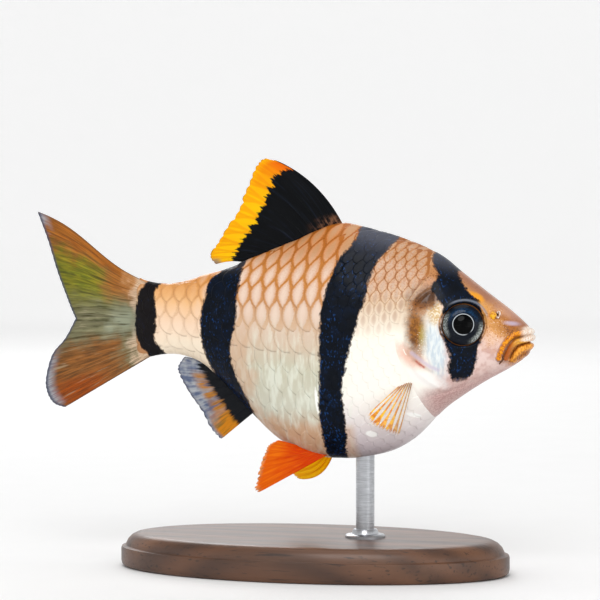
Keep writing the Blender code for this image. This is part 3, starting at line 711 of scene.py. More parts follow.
def mouth_colour(surface, colour, speckle):
    """Orange lips with painted shade in the creases between them, and a pale tip."""
    x, z = surface.x, surface.z
    fold, upper, lower = (surface.from_line(line) for line in (MAXILLA, UPPER_LIP, LOWER_LIP))
    fibres = surface.noise(0.26, 4.0, (1.8, 1, 0.5)).step(0.38, 0.66)
    fine = speckle.step(0.38, 0.64)
    ragged = (speckle - 0.5) * 0.5
    edge = abs(fold + ragged * 0.6 - 0.40).step(0.16, 0.0) * upper.step(0.4, 0.8)
    lip = mix((238, 174, 60), (180, 94, 26), (x + ragged * 2.0).step(20.8, 19.6))
    tip = (x + ragged * 1.6).step(20.7, 21.5) * z.step(30.35, 30.6) * fold.least(upper).step(0.9, 0.5)
    lip_groove_shade = (surface.from_line(LIP_GROOVE) + ragged * 0.4).step(0.26, 0.02) * x.step(21.8, 20.6)
    return layered(
        colour,
        (mix((206, 130, 42), (128, 70, 24), fibres), surface.patch(20.6, 28.9, 1.9, 1.2, 40, 0.45, 0.6)),
        (mix((248, 172, 62), (192, 112, 34), fibres), (lower + ragged).step(0.55, 0.20)),
        (mix((240, 156, 18), (178, 92, 14), fine), (fold + ragged).step(0.50, 0.22)),
        # Painted shade in the crease along the edge of the upper jaw
        ((126, 66, 26), edge * 0.5),
        (mix(lip, (150, 76, 26), fine * 0.5), (upper + ragged * 0.6).step(0.46, 0.22)),
        (mix((244, 234, 222), (222, 188, 160), fine), tip),
        # Painted shade in the lip groove, the gape and the fold under the chin
        ((96, 42, 12), lip_groove_shade * 0.6),
        ((116, 54, 18), (surface.from_line(GAPE) + ragged * 0.4).step(0.22, 0.02) * 0.6),
        ((120, 62, 24), (surface.from_line(CHIN_FOLD) + ragged).step(0.26, 0.0) * 0.5),
    )


def levels(surface, *stops):
    """A colour that changes with the level, from (level, colour) stops in rising order."""
    low, high = BAR_LEVELS
    soft = (surface.noise(3.2, 3.0) - 0.5) * 2.6
    share = (surface.z + soft - low) / (high - low)
    ramp = [((level - low) / (high - low), srgb(*colour)) for level, colour in stops]
    return add_node(surface.tree, "ShaderNodeValToRGB", {"stops": ramp}, {"Fac": share})


def barred(surface, colour, dark):
    """Lays the dark bars over a colour, with blue glints, a painted grey sheen along the top of the back and a brown
    fringe.
    """
    low = surface.z.step(30.0, 24.0) * 0.05
    glint = (surface.noise(0.26, 3.0, (1, 1, 0.6)) + low).step(0.58, 0.70) * surface.noise(2.5).step(0.38, 0.58)
    # Painted sheen: the bars turn grey along the top of the back, as if lit from above.
    top_sheen = abs(surface.y).step(4.6, 1.4) * surface.z.step(38.0, 42.0)
    bar = layered(
        NAVY,
        (NAVY_BLUE, glint * 0.8 + surface.noise(1.2, 3.0).step(0.4, 0.7) * 0.05),
        ((22, 17, 16), surface.x.step(-25.0, -27.0) * 0.8),
        (BAR_SHEEN_GREY, top_sheen * 0.6),
    )
    return layered(colour, (bar, dark), ((74, 46, 28), dark * (1 - dark) * 2.1))


def skin_look():
    """Smooth skin: bare on the head, and under the scales elsewhere."""
    made = Surface("barb skin", Coat_Roughness=0.12, Specular_IOR_Level=0.06)
    colour, from_eye, speckle = head_colour(made, body_colour(made))
    dark = bars(made)
    colour = eyelid(made, from_eye, barred(made, colour, dark))
    colour = mouth_colour(made, colour, speckle)
    # Painted shade in the pit of each nostril
    colour = mix(colour, (70, 36, 16), made.from_point(NOSTRIL_AT).step(0.30, 0.16))
    made.paint(Base_Color=colour, Coat_Weight=0.46 - dark * 0.38, Roughness=0.32 + speckle * 0.2)
    return made.bump(speckle + made.noise(1.6) * 0.6, 0.05, 0.5).material


def scale_look():
    """Scales: a pale oval in the open part of each, in an orange-brown net that fades down the flank."""
    made = Surface("barb scales", Coat_Roughness=0.14, Specular_IOR_Level=0.05)
    from_rear, across = made.local()
    x, z = made.x, made.z
    grain = made.noise(0.22, 4.0)
    front = x.step(-1.0, 0.5)
    width = across * (1.56 - front * 0.20)
    oval = abs(from_rear * 2.0 - 1.0) + width * width * 0.74
    rim = (oval + (grain - 0.5) * 0.45 - front * 0.08).step(0.60, 0.88)
    upper = (z + (grain - 0.5) * 3.0 - front * 3.2).step(27.0, 35.5)
    strength = upper * 0.96 * (1 - x.step(-18.5, -23.0) * 0.55) * (1 - front * (1 - upper) * 0.9)
    net = layered((204, 166, 130), ((192, 124, 54), z.step(31.0, 37.5)), ((170, 96, 30), z.step(38.0, 43.0)),
                  ((152, 92, 46), front * 0.75))
    pale = layered((226, 202, 184), ((188, 142, 102), z.step(38.0, 42.0)), ((190, 158, 134), front))
    freckles = made.noise(0.20, 3.0).step(0.46, 0.64) * z.step(34.0, 38.0)
    low = (1 - front) * (1 - upper)
    pink = (made.noise(3.6, 3.0) - 0.5) * 5.0 - made.noise(1.0)
    sides = (x + pink).step(-13.0, -15.5).most((z + pink).step(20.0, 18.0)) * x.step(-21.0, -18.5)
    silky = made.noise(1.2, 4.0, (1.8, 1, 0.45)).step(0.42, 0.66) * x.step(-18.5, -15.0)
    # Painted highlights: small white glints on the breast, and the listed larger ones.
    painted_glints = made.noise(0.5).step(0.62, 0.68) * x.near(4.0, 5.0) * z.near(20.0, 3.0)
    for glint in PAINTED_GLINTS:
        painted_glints = painted_glints.most(made.patch(*glint))
    colour = layered(
        body_colour(made),
        (pale, oval.step(0.75, 0.15) * z.step(30.0, 35.0) * x.step(-24.0, -18.0) * 0.85),
        ((180, 112, 54), freckles * (0.16 + front * 0.40)),
        ((206, 166, 134), sides * low * 0.7),
        ((232, 236, 222), silky * low * (1 - sides * 0.6) * 0.55),
        (net, rim * strength),
        # Dark brown with painted shade over the scales in the corner above the gill cover
        ((84, 52, 30), made.patch(8.9, 36.2, 1.9, 1.3, 22, 0.8, 0.4) * 0.85),
        ((254, 254, 250), painted_glints * 0.85),
    )
    dark = bars(made)
    made.paint(Base_Color=barred(made, colour, dark), Coat_Weight=0.36 - dark * 0.30, Roughness=0.32 + grain * 0.2)
    return made.bump(grain, 0.02, 0.4).material


# Pieces of the fish

def skin(look):
    """One skin from the lips to the root of the tail."""
    lips = SNOUT - 0.28 * np.linspace(0, 1, 12) ** 1.6
    head_step, trunk_step = (0.11, 0.5) if FINE else (0.25, 0.8)
    xs = np.concatenate([lips, np.arange(lips[-1] - 0.09, 5.0, -head_step), np.arange(5.0, TAIL_END, -trunk_step)])
    rows = 320 if FINE else 160
    points = section(*np.meshgrid(xs, turns(rows), indexing="ij"))
    across = np.cross(np.gradient(points, axis=0), np.roll(points, -1, 1) - np.roll(points, 1, 1))
    out = outward(across, points, points.mean(1, keepdims=True))
    rise = relief(points[..., 0], points[..., 2])
    rise *= smooth(points[..., 0], TAIL_END - 0.2, TAIL_END + 0.8)
    points = sweep(points + out * rise[..., None])
    count, last = len(xs) * rows, (len(xs) - 1) * rows
    faces = ring_faces(len(xs), rows)
    faces += [(k, count, (k + 1) % rows) for k in range(rows)]
    faces += [(last + k, last + (k + 1) % rows, count + 1) for k in range(rows)]
    ends = np.vstack([points.reshape(-1, 3), points[0].mean(0), points[-1].mean(0)])
    return face_out(make_piece("skin", ends, faces, look))


def lateral_line(x):
    """The level of the middle row of scales."""
    return np.interp(x, (-31.3, -22.0, -12.0, -3.0, 5.0, 10.0), (32.3, 31.9, 30.9, 30.8, 32.2, 33.2))


GRID_X = np.linspace(TAIL_END, 13.0, 300)
GRID_ANGLES = np.linspace(0, np.pi, 241)


def flank_lengths():
    """For each place along the fish, the way down its side from the back, and that of the lateral line."""
    points = section(GRID_X[:, None], GRID_ANGLES[None, :])
    steps = np.linalg.norm(np.diff(points, axis=1), axis=-1)
    down = np.concatenate([np.zeros((len(GRID_X), 1)), np.cumsum(steps, 1)], 1)
    levels = points[..., 2]
    line = np.array([np.interp(-lateral_line(x), -levels[i], down[i]) for i, x in enumerate(GRID_X)])
    return down, line


def lean(up):
    """How far the scales lean forward, more and more towards the back."""
    return 0.19 * (np.sqrt((up - 6.0) ** 2 + 2.0) + up - 6.0)


def coat_relief(x, z):
    """How boldly the scales stand out: less on the belly, and hardly at all on the breast."""
    belly = 0.04 + 0.96 * smooth(z, 27.5, 38.0)
    breast = smooth(x, -3.0, -0.5) * (1 - smooth(z, 31.0, 36.0))
    return belly * (1 - 0.6 * breast)


def on_flank(x, up, down, line, side):
    """The point and the outward direction at a place along the fish and a way up from the lateral line."""
    place = np.interp(x, GRID_X, np.arange(len(GRID_X)))
    i = np.minimum(place.astype(int), len(GRID_X) - 2)
    f = place - i

    def angle_at(k):
        way = np.clip(line[k] - up, 0, down[k, -1])
        return np.array([np.interp(w, down[j], GRID_ANGLES) for w, j in zip(way, k)])

    angle = (1 - f) * angle_at(i) + f * angle_at(i + 1)
    point = section(x, side * angle)
    lengthwise = section(x - 0.1, side * angle) - section(x + 0.1, side * angle)
    around = section(x, side * (angle + 0.02)) - section(x, side * (angle - 0.02))
    middle = np.stack([point[:, 0], 0 * x, lateral_line(point[:, 0])], 1)
    return point, outward(np.cross(around, lengthwise), point, middle)


def bed_places(bed, down, line):
    """Where each scale of a bed is rooted: place, way up from the lateral line, and the pitches there."""
    places = []
    reach = bed["front"] - bed["rear"]
    for row in range(-12, 13):
        x = bed["front"] - (0.5 if row % 2 else 0.0) * bed["pitch"][0]
        while x > bed["rear"]:
            share = (bed["front"] - x) / reach
            rows = bed["rows"][0] + (bed["rows"][1] - bed["rows"][0]) * share
            pitch = bed["pitch"][0] + (bed["pitch"][1] - bed["pitch"][0]) * share
            up = row * rows
            at = x + lean(up)
            way = np.interp(at, GRID_X, line) - up
            whole = np.interp(at, GRID_X, down[:, -1])
            if 0.2 * rows < way < whole - 0.2 * rows:
                places.append((x, up, pitch, rows))
            x -= pitch
    return places


def scale_template():
    """The grid of one scale: share from the root, share of its width, and way across."""
    share, column = np.meshgrid([place for place, _ in SCALE_OUTLINE], SCALE_COLUMNS, indexing="ij")
    across = column * np.array([width for _, width in SCALE_OUTLINE])[:, None]
    return share.ravel(), column.ravel(), across.ravel()


def scales(side, look):
    """The scales of one side, as overlapping plates over the skin."""
    down, line = flank_lengths()
    rng = np.random.default_rng(7)
    sheet = closed_sheet_faces(len(SCALE_OUTLINE), len(SCALE_COLUMNS))
    share, column, across = scale_template()
    local = np.stack([(1 - share) * SCALE_LENGTH, across], 1)
    patch = BAKE_PATCH * np.stack([2 * share - 1, across], 1)
    points, bakes, faces = [], [], []
    for bed in (FLANK_BED, NAPE_BED):
        for x, up, pitch, rows in bed_places(bed, down, line):
            root, _ = on_flank(np.array([x + lean(up)]), np.array([up]), down, line, side)
            root_x, _, root_z = root[0]
            if root_x > coat_front(root_z) + 0.4:
                continue
            jitter = rng.normal(0, 1, 4)
            length = pitch * (SCALE_LENGTH + 0.02 * jitter[0])
            ups = up + across * rows * (1 + 0.012 * jitter[1]) + 0.02 * jitter[2]
            xs = x + 0.45 * pitch - (share - 0.03 * column**2) * length + lean(ups)
            place, out = on_flank(np.clip(xs, TAIL_END, 12.9), ups, down, line, side)
            way = np.interp(root_x, GRID_X, line) - up
            bold = coat_relief(root_x, root_z) * (0.35 + 0.65 * smooth(way, 0.5, 2.5))
            lift = 0.02 + bold * (-0.05 + (0.13 + 0.01 * jitter[3]) * share + 0.035 * (1 - column**2) * share)
            lift = lift + 0.012 * (1 - bold) * share
            faces.append(sheet + len(points) * share.size)
            points.append(place + out * (lift - COAT + 0.012 + 0.036 * bold)[:, None])
            points.append(place + out * (lift - COAT)[:, None])
            middle = (0.03 + 0.94 * (root_x - TAIL_END) / UNWRAP_LENGTH,
                      0.02 + 0.45 * way / UNWRAP_GIRTH + (0.5 if side > 0 else 0))
            bakes += [patch + middle] * 2
    return face_out(make_piece("scales_left" if side > 0 else "scales_right", sweep(np.vstack(points)),
                               np.vstack(faces), look, np.tile(local, (len(points), 1)), np.vstack(bakes)))


def eye_frame(side):
    """Where an eye sits, and its own across, up and outward directions."""
    x, z = EYE_AT
    out = flank_normal(x, z, side)
    centre = Vector((x, side * float(flank(x, z)), z)) - out * EYE_SUNK
    up = (Vector((0, 0, 1)) - out * out.z).normalized()
    across = up.cross(out) * -side
    return centre, across, up, out


def eye_look():
    """A black pupil with a thin silver ring, a blue-black iris and silver crescents round it."""
    made = Surface("barb eye", Roughness=0.16, Coat_Roughness=0.02, Specular_IOR_Level=0.0)
    u, v = (part - 0.5 for part in made.local())
    radius = distance(u, v) * (2 * EYE_RADIUS)
    angle = v.math("ARCTAN2", u)
    grain = made.noise(0.16, 4.0)
    upper = radius.near(1.80, 0.55) * v.step(-0.05, 0.30)
    rear = abs(angle).step(2.30, 2.85)
    front = abs(angle + 0.55).step(0.85, 0.25)
    crescent = (rear * 0.65).most(front) * radius.step(1.85, 2.35) * radius.step(2.62, 2.50)
    pupil = radius.step(1.28, 1.22)
    colour = layered(
        (7, 13, 24),
        ((24, 66, 106), upper * grain.step(0.25, 0.75) * 0.8),
        (mix((96, 104, 98), (210, 216, 214), grain.step(0.38, 0.66)), crescent * 0.85),
        ((96, 60, 26), radius.step(2.54, 2.66)),
        ((200, 206, 210), radius.near(1.33, 0.08) * abs(angle + 1.0).step(0.05, 0.5)),
        ((1, 1, 2), pupil),
    )
    return made.paint(Base_Color=colour, Coat_Weight=0.28 - pupil * 0.14).material


def pupil_bulge(radius):
    """The lens stands a little out of the pupil, with a shallow ditch round it."""
    return 0.12 * math.sqrt(max(0.0, 1 - (radius / 1.25) ** 2)) - 0.07 * math.exp(-(((radius - 1.55) / 0.22) ** 2))


def eyeball(name, side, look, rings=72, segments=96):
    """A flattened ball, with its local map across the disc."""
    centre, across, up, out = eye_frame(side)
    points, places = [], []
    for ring in range(rings + 1):
        polar = math.pi * ring / rings
        reach, height = math.sin(polar), math.cos(polar) * EYE_THICKNESS
        if height > 0:
            height += pupil_bulge(reach * EYE_RADIUS)
        for turn in turns(segments):
            right, rise = reach * math.cos(turn), reach * math.sin(turn)
            points.append(tuple(centre + (across * right + up * rise) * EYE_RADIUS + out * height))
            places.append((0.5 + 0.5 * right, 0.5 + 0.5 * rise))
    return face_out(make_piece(name, points, ring_faces(rings + 1, segments), look, places), merge=1e-7)


def eyes():
    look = eye_look()
    for side, name in SIDES:
        settle(eyeball(f"eyeball_{name}", side, look), "eye", f"eye_{name}")


def tube(name, points, radii, look, sides=12):
    """A closed round tube through points, with a radius at each."""
    path = [Vector(p) for p in points]
    upright = abs((path[1] - path[0]).normalized().z) > 0.9
    across = Vector((1, 0, 0)) if upright else Vector((0, 0, 1))
    rings = []
    for i, (point, radius) in enumerate(zip(path, radii)):
        heading = (path[min(i + 1, len(path) - 1)] - path[max(i - 1, 0)]).normalized()
        across = (across - heading * across.dot(heading)).normalized()
        other = heading.cross(across)
        rings += [tuple(point + (across * math.cos(turn) + other * math.sin(turn)) * radius) for turn in turns(sides)]
    return face_out(make_piece(name, rings, ring_faces(len(path), sides, True), look))


def flecked_look(name, light, dark, size, **fixed):
    """The look of a small piece on the head."""
    made = Surface(name, Specular_IOR_Level=0.2, **fixed)
    fleck = made.noise(size)
    return made.paint(Base_Color=mix(light, dark, fleck.step(0.4, 0.6))).bump(fleck, 0.02).material


def feelers_and_nostrils():
    """A short barbel at each corner of the mouth, and the tubule and flap of each nostril."""
    brown = flecked_look("barbel skin", (70, 42, 26), (132, 86, 54), 0.2, Roughness=0.4)
    pale = flecked_look("nostril rim", (236, 224, 214), (196, 164, 142), 0.2, Roughness=0.3, Coat_Weight=0.4)
    gold = flecked_look("nostril flap", (244, 184, 34), (206, 128, 20), 0.25, Roughness=0.28, Coat_Weight=0.4)

    def on_head(x, z, side, rise):
        return tuple(Vector((x, side * float(flank(x, z)), z)) + flank_normal(x, z, side) * rise)

    x, z = NOSTRIL_AT
    for side, name in SIDES:
        route = zip(along(BARBEL, np.linspace(0, 1, 10)), np.linspace(0.0, 0.42, 10))
        points = [on_head(*place, side, rise) for place, rise in route]
        feeler = tube(f"barbel_{name}", points, np.linspace(0.20, 0.08, 10), brown)
        ring = [math.pi * (-0.86 + 1.72 * k / 20) for k in range(21)]
        ring = [on_head(x + 0.22 + 0.17 * math.cos(turn), z + 0.06 + 0.38 * math.sin(turn), side, 0.08)
                for turn in ring]
        rim = tube(f"nostril_tubule_{name}", ring, [0.10] * 21, pale, 8)
        flap = [on_head(x - 0.42 + 0.16 * k / 10, z + 0.52 - 1.10 * k / 10, side, 0.06) for k in range(11)]
        widths = [0.05 + 0.42 * math.sin(math.pi * k / 10) ** 1.4 for k in range(11)]
        flap = tube(f"nostril_flap_{name}", flap, widths, gold)
        for piece in (feeler, rim, flap):
            settle(piece, "skin")


def ray_tree(look):
    """Node tree that turns lines into closed round rays, as thick as their points say."""
    tree = bpy.data.node_groups.new("fin rays", "GeometryNodeTree")
    for name, way in (("Lines", "INPUT"), ("Rays", "OUTPUT")):
        tree.interface.new_socket(name, in_out=way, socket_type="NodeSocketGeometry")
    lines = Value(tree, tree.nodes.new("NodeGroupInput").outputs[0])
    course = add_node(tree, "GeometryNodeMeshToCurve", inputs={"Mesh": lines})
    thickness = add_node(tree, "GeometryNodeInputNamedAttribute", {"data_type": "FLOAT"}, {"Name": "thickness"})
    ring = add_node(tree, "GeometryNodeCurvePrimitiveCircle", {"mode": "RADIUS"}, {"Resolution": 6, "Radius": 1.0})
    rays = add_node(tree, "GeometryNodeCurveToMesh",
                    inputs={"Curve": course, "Profile Curve": ring, "Scale": thickness, "Fill Caps": True})
    real = add_node(tree, "GeometryNodeRealizeInstances", inputs={"Geometry": rays})
    done = add_node(tree, "GeometryNodeSetMaterial", inputs={"Geometry": real, "Material": look})
    tree.links.new(done.socket, tree.nodes.new("NodeGroupOutput").inputs[0])
    return tree


def raise_rays(name, lines, look):
    """Makes a mesh of round rays from lines of (points, thicknesses, places on the fin)."""
    edges, start = [], 0
    for course, _, _ in lines:
        edges += [(start + k, start + k + 1) for k in range(len(course) - 1)]
        start += len(course)
    points, thickness, places = (np.concatenate(column) for column in zip(*lines))
    columns = {"thickness": thickness * MM, "share": places[:, 0], "out": places[:, 1]}
    mesh = bpy.data.meshes.new(name + "_lines")
    mesh.from_pydata((points * MM).tolist(), edges, [])
    for label, numbers in columns.items():
        mesh.attributes.new(label, "FLOAT", "POINT").data.foreach_set("value", numbers.astype(np.float32))
    draft = put_in_scene(name + "_lines", mesh)
    draft.modifiers.new("rays", "NODES").node_group = ray_tree(look)
    made = bpy.data.meshes.new_from_object(draft.evaluated_get(bpy.context.evaluated_depsgraph_get()))
    bpy.data.objects.remove(draft)
    local = np.empty((2, len(made.vertices)), np.float32)
    for row, label in zip(local, ("share", "out")):
        made.attributes[label].data.foreach_get("value", row)
    for layer in list(made.uv_layers):
        made.uv_layers.remove(layer)
    add_map(made, "Local", local.T)
    for label in columns:
        made.attributes.remove(made.attributes[label])
    made.name = name
    made.polygons.foreach_set("use_smooth", [True] * len(made.polygons))
    return face_out(put_in_scene(name, made))


def late_split(split):
    """Where the rays of a fin part for the second time, from where they part first."""
    return split + (1 - split) * 0.55


def fin_sheet(name, root, margin, rays, look, bow=(0, 0, 0), sunk=1.0, fray=0.04, thick=0.06, ray_thick=0.10,
              split=0.45, seed=1, rows=44, wave=0.12, swell=0.0, curl=0.0, lift=0.0):
    """A fin: a thin skin with branching rays, whose tips stand out of the margin a little.

    Root and margin are functions of the share from the leading ray to the last one.
    """
    uneven = np.random.default_rng(seed).normal(0, 1, rays)
    rows, per_ray = (rows, 8) if FINE else (20, 4)
    middle = margin(np.array([0.5]))[0] - root(np.array([0.5]))[0]
    sink = middle / np.linalg.norm(middle) * sunk

    def surface(share, out):
        """The middle of the fin at places on it, and its map, which runs from the root to the margin."""
        start = root(share) - sink
        end = margin(share)
        nearest = np.rint(share * (rays - 1)).astype(int)
        offset = np.abs(share * (rays - 1) - nearest)
        tip = soft_ridge(offset - FIRST_SPREAD, 0.2, 1.0)
        reach = np.clip(1 - fray * (1 - tip) + 0.012 * uneven[nearest] * (fray > 0.01), 0.5, 1.0)
        grow = out * reach
        bend = np.asarray(bow, float) * ((1 - share) * 4 * grow * (1 - grow))[:, None]
        bend[:, 2] += curl * (1 - share) ** 3 * np.sin(2 * np.pi * grow)
        bend[:, 2] += lift * share**6 * 4 * grow * (1 - grow)
        points = start + (end - start) * grow[:, None] + bend
        across = unit(np.cross(end - start, root(np.clip(share + 0.05, 0, 1)) - root(np.clip(share - 0.05, 0, 1))))
        ripple = wave * np.sin(share * (rays - 1) * 1.7 + seed) * np.sin(np.pi * 0.9 * grow) * grow
        whole = np.linalg.norm(end - start, axis=1)
        way = grow * whole - sunk
        return points + across * ripple[:, None], np.stack([share, way / (whole - sunk)], 1), way

    columns = (rays - 1) * per_ray + 1
    share = np.repeat(np.linspace(0, 1, columns), rows)
    out = np.tile(np.linspace(0, 1, rows), columns)
    points, uv, way = surface(share, out)
    grid = points.reshape(columns, rows, 3)
    normal = unit(np.cross(np.gradient(grid, axis=0), np.gradient(grid, axis=1)).reshape(-1, 3))
    half = thick * (1 - 0.65 * out) + soft_ridge(np.clip(way, 0, None), 1.5, swell)
    half = half.reshape(columns, rows)
    half[:, -1] *= 0.4
    half[[0, -1]] *= 0.6
    half = half.reshape(-1, 1)
    both = np.vstack([points + normal * half, points - normal * half])
    sheet = face_out(make_piece(name, sweep(both), closed_sheet_faces(columns, rows), look, np.vstack([uv, uv])))

    def place(share, out):
        points, uv, _ = surface(share, out)
        return sweep(points), uv

    return sheet, raise_rays(name + "_rays", ray_lines(place, rays, split, ray_thick, seed), look)


def fin_rays(surface, rays, u, v, split=0.45):
    """How far a place on a fin is from the nearest branch of a ray, in distances between rays."""
    ray = u * (rays - 1.0)
    first = abs(abs(ray - ray.math("ROUND")) - v.step(split, 1.0) * FIRST_SPREAD)
    return abs(first - v.step(late_split(split), 1.0) * SECOND_SPREAD)


def dorsal_look(rays):
    """Black with a jagged yellow band along the free edge."""
    made = Surface("dorsal fin", Roughness=0.5, Specular_IOR_Level=0.06, Coat_Weight=0.05)
    u, v = made.local()
    on_ray = fin_rays(made, rays, u, v).step(0.14, 0.04)
    to_edge = (1 - v) * (12.0 - u * 7.4)
    flames = made.streaks(34.0, 1.6)
    teeth = (flames - 0.5) * 2.6 + (made.noise(0.4, 3.0) - 0.5) * 0.7
    band = (to_edge + teeth).step(2.75, 2.45) * (u + to_edge * 0.010).step(0.015, 0.05)
    yellow = layered(
        (254, 204, 10),
        ((244, 158, 8), on_ray * 0.6 + flames.step(0.5, 0.75) * 0.3),
        ((240, 112, 8), u.step(0.50, 0.08) * to_edge.step(0.1, 1.2)),
        ((104, 118, 122), u.step(0.88, 0.97) * to_edge.step(1.4, 0.3) * 0.8),
        ((120, 84, 30), to_edge.step(0.22, 0.05) * 0.5),
    )
    foot = (flames + made.noise(0.8, 3.0)).step(0.85, 1.25) * v.step(0.12, 0.0) * u.step(0.45, 0.10)
    # The bluish streaks over the black are a faint painted sheen along the rays.
    colour = layered((4, 6, 9), ((22, 30, 46), flames.step(0.50, 0.75) * 0.5), ((176, 122, 88), foot * 0.55),
                     (yellow, band))
    made.paint(Base_Color=colour).bump(on_ray + flames * 0.4, 0.03, 0.5)
    return made.let_light_through((250, 184, 10), band * 0.25).material


def ray_lines(place, rays, split, thick, seed):
    """Rays that part in two, and then in four, on the way to the fin's edge."""
    rng = np.random.default_rng(seed)
    late = late_split(split)
    steps = 26 if FINE else 10
    stem, fork, four = ((0, 0),), ((-1, 0), (1, 0)), ((-1, -1), (-1, 1), (1, -1), (1, 1))
    lines = []
    for ray in range(rays):
        first = split + 0.03 * rng.normal()
        parts = [(0.0, first + 0.04, stem, 1.0), (first, late + 0.03, fork, 0.75), (late, 1.0, four, 0.55)]
        if ray in (0, rays - 1):
            parts = [(0.0, 1.0, stem, 1.0)]
        for low, high, branches, strength in parts:
            out = np.linspace(low, high, max(4, int(steps * (high - low)) + 3))
            radius = thick * strength * (1 - 0.62 * out)
            if high == 1.0:
                radius = radius * np.clip((1.0 - out) * 12 + 0.25, 0, 1)
            for one, two in branches:
                spread = one * FIRST_SPREAD * smooth(out, split, 1.0) + two * SECOND_SPREAD * smooth(out, late, 1.0)
                points, ends = place(np.clip((ray + spread) / (rays - 1), 0, 1), out)
                lines.append((points, radius, ends))
    return lines


def anal_look(rays):
    """Black at the root, then orange between grey rays, with a blue-grey edge."""
    made = Surface("anal fin", Roughness=0.38, Specular_IOR_Level=0.08, Coat_Weight=0.12)
    u, v = made.local()
    on_ray = fin_rays(made, rays, u, v).step(0.26, 0.05)
    length = 6.2 - u * 2.6
    to_edge = (1 - v) * length
    flames = made.streaks(24.0, 1.4)
    fine = made.streaks(60.0, 2.0)
    black = (v * length + (flames - 0.5) * 1.8 + (fine - 0.5) * 1.2 + u * 1.4).step(3.1, 2.3)
    cloud = flames * 0.35 + fine * 0.25 + made.noise(0.9, 3.0) * 0.4
    spots = flames.step(0.33, 0.49) * (1 - on_ray * 0.5) * to_edge.step(1.0, 2.0) * u.step(0.84, 0.64)
    colour = layered(
        (98, 116, 150),
        ((198, 204, 210), cloud.step(0.40, 0.62)),
        (mix((212, 142, 54), (162, 112, 66), fine.step(0.42, 0.64)), spots),
        (mix((232, 146, 24), (150, 112, 30), fine.step(0.50, 0.66)), u.step(0.34, 0.12) * to_edge.step(0.2, 0.9)),
        ((62, 76, 110), to_edge.step(0.36, 0.06) * 0.8),
        ((8, 11, 17), black),
    )
    made.paint(Base_Color=colour).bump(on_ray + fine * 0.5, 0.03, 0.5)
    return made.let_light_through((168, 142, 112), 0.35 - black * 0.35).material


def tail_look(rays):
    """Orange lobes with green above, pale at the root, and a thin grey-blue edge."""
    made = Surface("tail fin", Roughness=0.36, Specular_IOR_Level=0.08, Coat_Weight=0.18)
    u, v = made.local()
    on_ray = fin_rays(made, rays, u, v, 0.30).step(0.20, 0.04)
    flames = made.streaks(60.0, 3.0, 4.0)
    fine = made.streaks(130.0, 5.0)
    soft = (made.noise(1.8, 3.0) - 0.5) * 0.40 + (flames - 0.5) * 0.22
    us, vs = u + soft * 0.35, v + soft
    green = us.step(0.06, 0.16) * us.step(0.46, 0.26) * vs.step(0.16, 0.56)
    upper = us.step(0.21, 0.08).most(us.step(0.42, 0.20) * vs.step(0.60, 0.26) * 0.9)
    orange = us.step(0.76, 0.88) * vs.step(0.30, 0.70) * v.step(1.0, 0.90)
    teal = us.near(0.50, 0.16) * vs.step(0.02, 0.16) * vs.step(0.50, 0.30)
    ends = layered((236, 204, 172), ((150, 118, 92), fine.step(0.46, 0.62)), ((160, 158, 138), us.near(0.5, 0.25)))
    dark = flames.step(0.54, 0.68) * us.step(0.10, 0.22) * us.step(0.78, 0.60) * vs.step(0.08, 0.24)
    pale = flames.step(0.42, 0.30) * us.step(0.30, 0.45) * vs.step(0.15, 0.35)
    frost = v.step(0.86, 0.98) * (us.step(0.60, 0.75) * us.step(0.98, 0.88)).most(us.step(0.10, 0.02))
    colour = layered(
        (134, 132, 100),
        ((104, 104, 76), flames.step(0.45, 0.62)),
        (mix((150, 146, 40), (114, 120, 36), fine.step(0.4, 0.6)), green),
        (mix((186, 112, 40), (146, 84, 34), fine.step(0.42, 0.62)), upper),
        ((206, 152, 100), us.step(0.36, 0.12) * vs.step(0.24, 0.06) * 0.9),
        (mix((160, 102, 50), (108, 70, 40), fine.step(0.42, 0.64)), us.step(0.55, 0.70) * vs.step(0.04, 0.30)),
        (mix((172, 76, 12), (132, 62, 20), fine.step(0.45, 0.65)), orange * 0.9),
        ((158, 164, 140), teal * 0.9),
        (ends, vs.step(0.14, 0.0) * 0.9),
        ((46, 50, 34), dark * 0.65),
        ((56, 44, 28), on_ray * 0.30 * vs.step(0.02, 0.30)),
        ((196, 184, 150), pale * 0.4),
        (mix((128, 144, 166), (196, 202, 208), fine.step(0.40, 0.62)), frost * 0.75),
        ((64, 74, 98), v.step(0.955, 0.990) * 0.85),
        ((78, 52, 34), abs(u - 0.5).step(0.492, 0.499) * 0.5),
    )
    colour = add_node(made.tree, "ShaderNodeHueSaturation", inputs={"Value": 1.18, "Color": colour})
    root_bar = bars(made) * v.step(0.12, 0.02)
    made.paint(Base_Color=mix(colour, (18, 17, 20), root_bar)).bump(on_ray + flames * 0.5, 0.03, 0.5)
    return made.let_light_through((146, 126, 76), 0.30 - root_bar * 0.30).material


def orange_look(name, rays, deep, bright, edge, tint, clear):
    """A pelvic fin: orange, lighter towards a frayed edge."""
    made = Surface(name, Roughness=0.38, Specular_IOR_Level=0.05, Coat_Weight=0.12)
    u, v = made.local()
    on_ray = fin_rays(made, rays, u, v, 0.35).step(0.20, 0.05)
    flames = made.streaks(16.0, 2.0)
    fine = made.streaks(50.0, 5.0, 4.0)
    frayed = (v + (fine - 0.5) * 0.16).step(0.90, 0.98)
    colour = layered(
        deep,
        (bright, (v + (flames - 0.5) * 1.3).step(0.20, 0.90)),
        (bright, fine.step(0.50, 0.66) * 0.6),
        (deep, on_ray * 0.5),
        (edge, frayed * 0.8),
        ((92, 44, 14), frayed * fine.step(0.56, 0.62) * 0.7),
    )
    made.paint(Base_Color=colour).bump(on_ray + fine * 0.5, 0.03, 0.5)
    return made.let_light_through(tint, clear).material


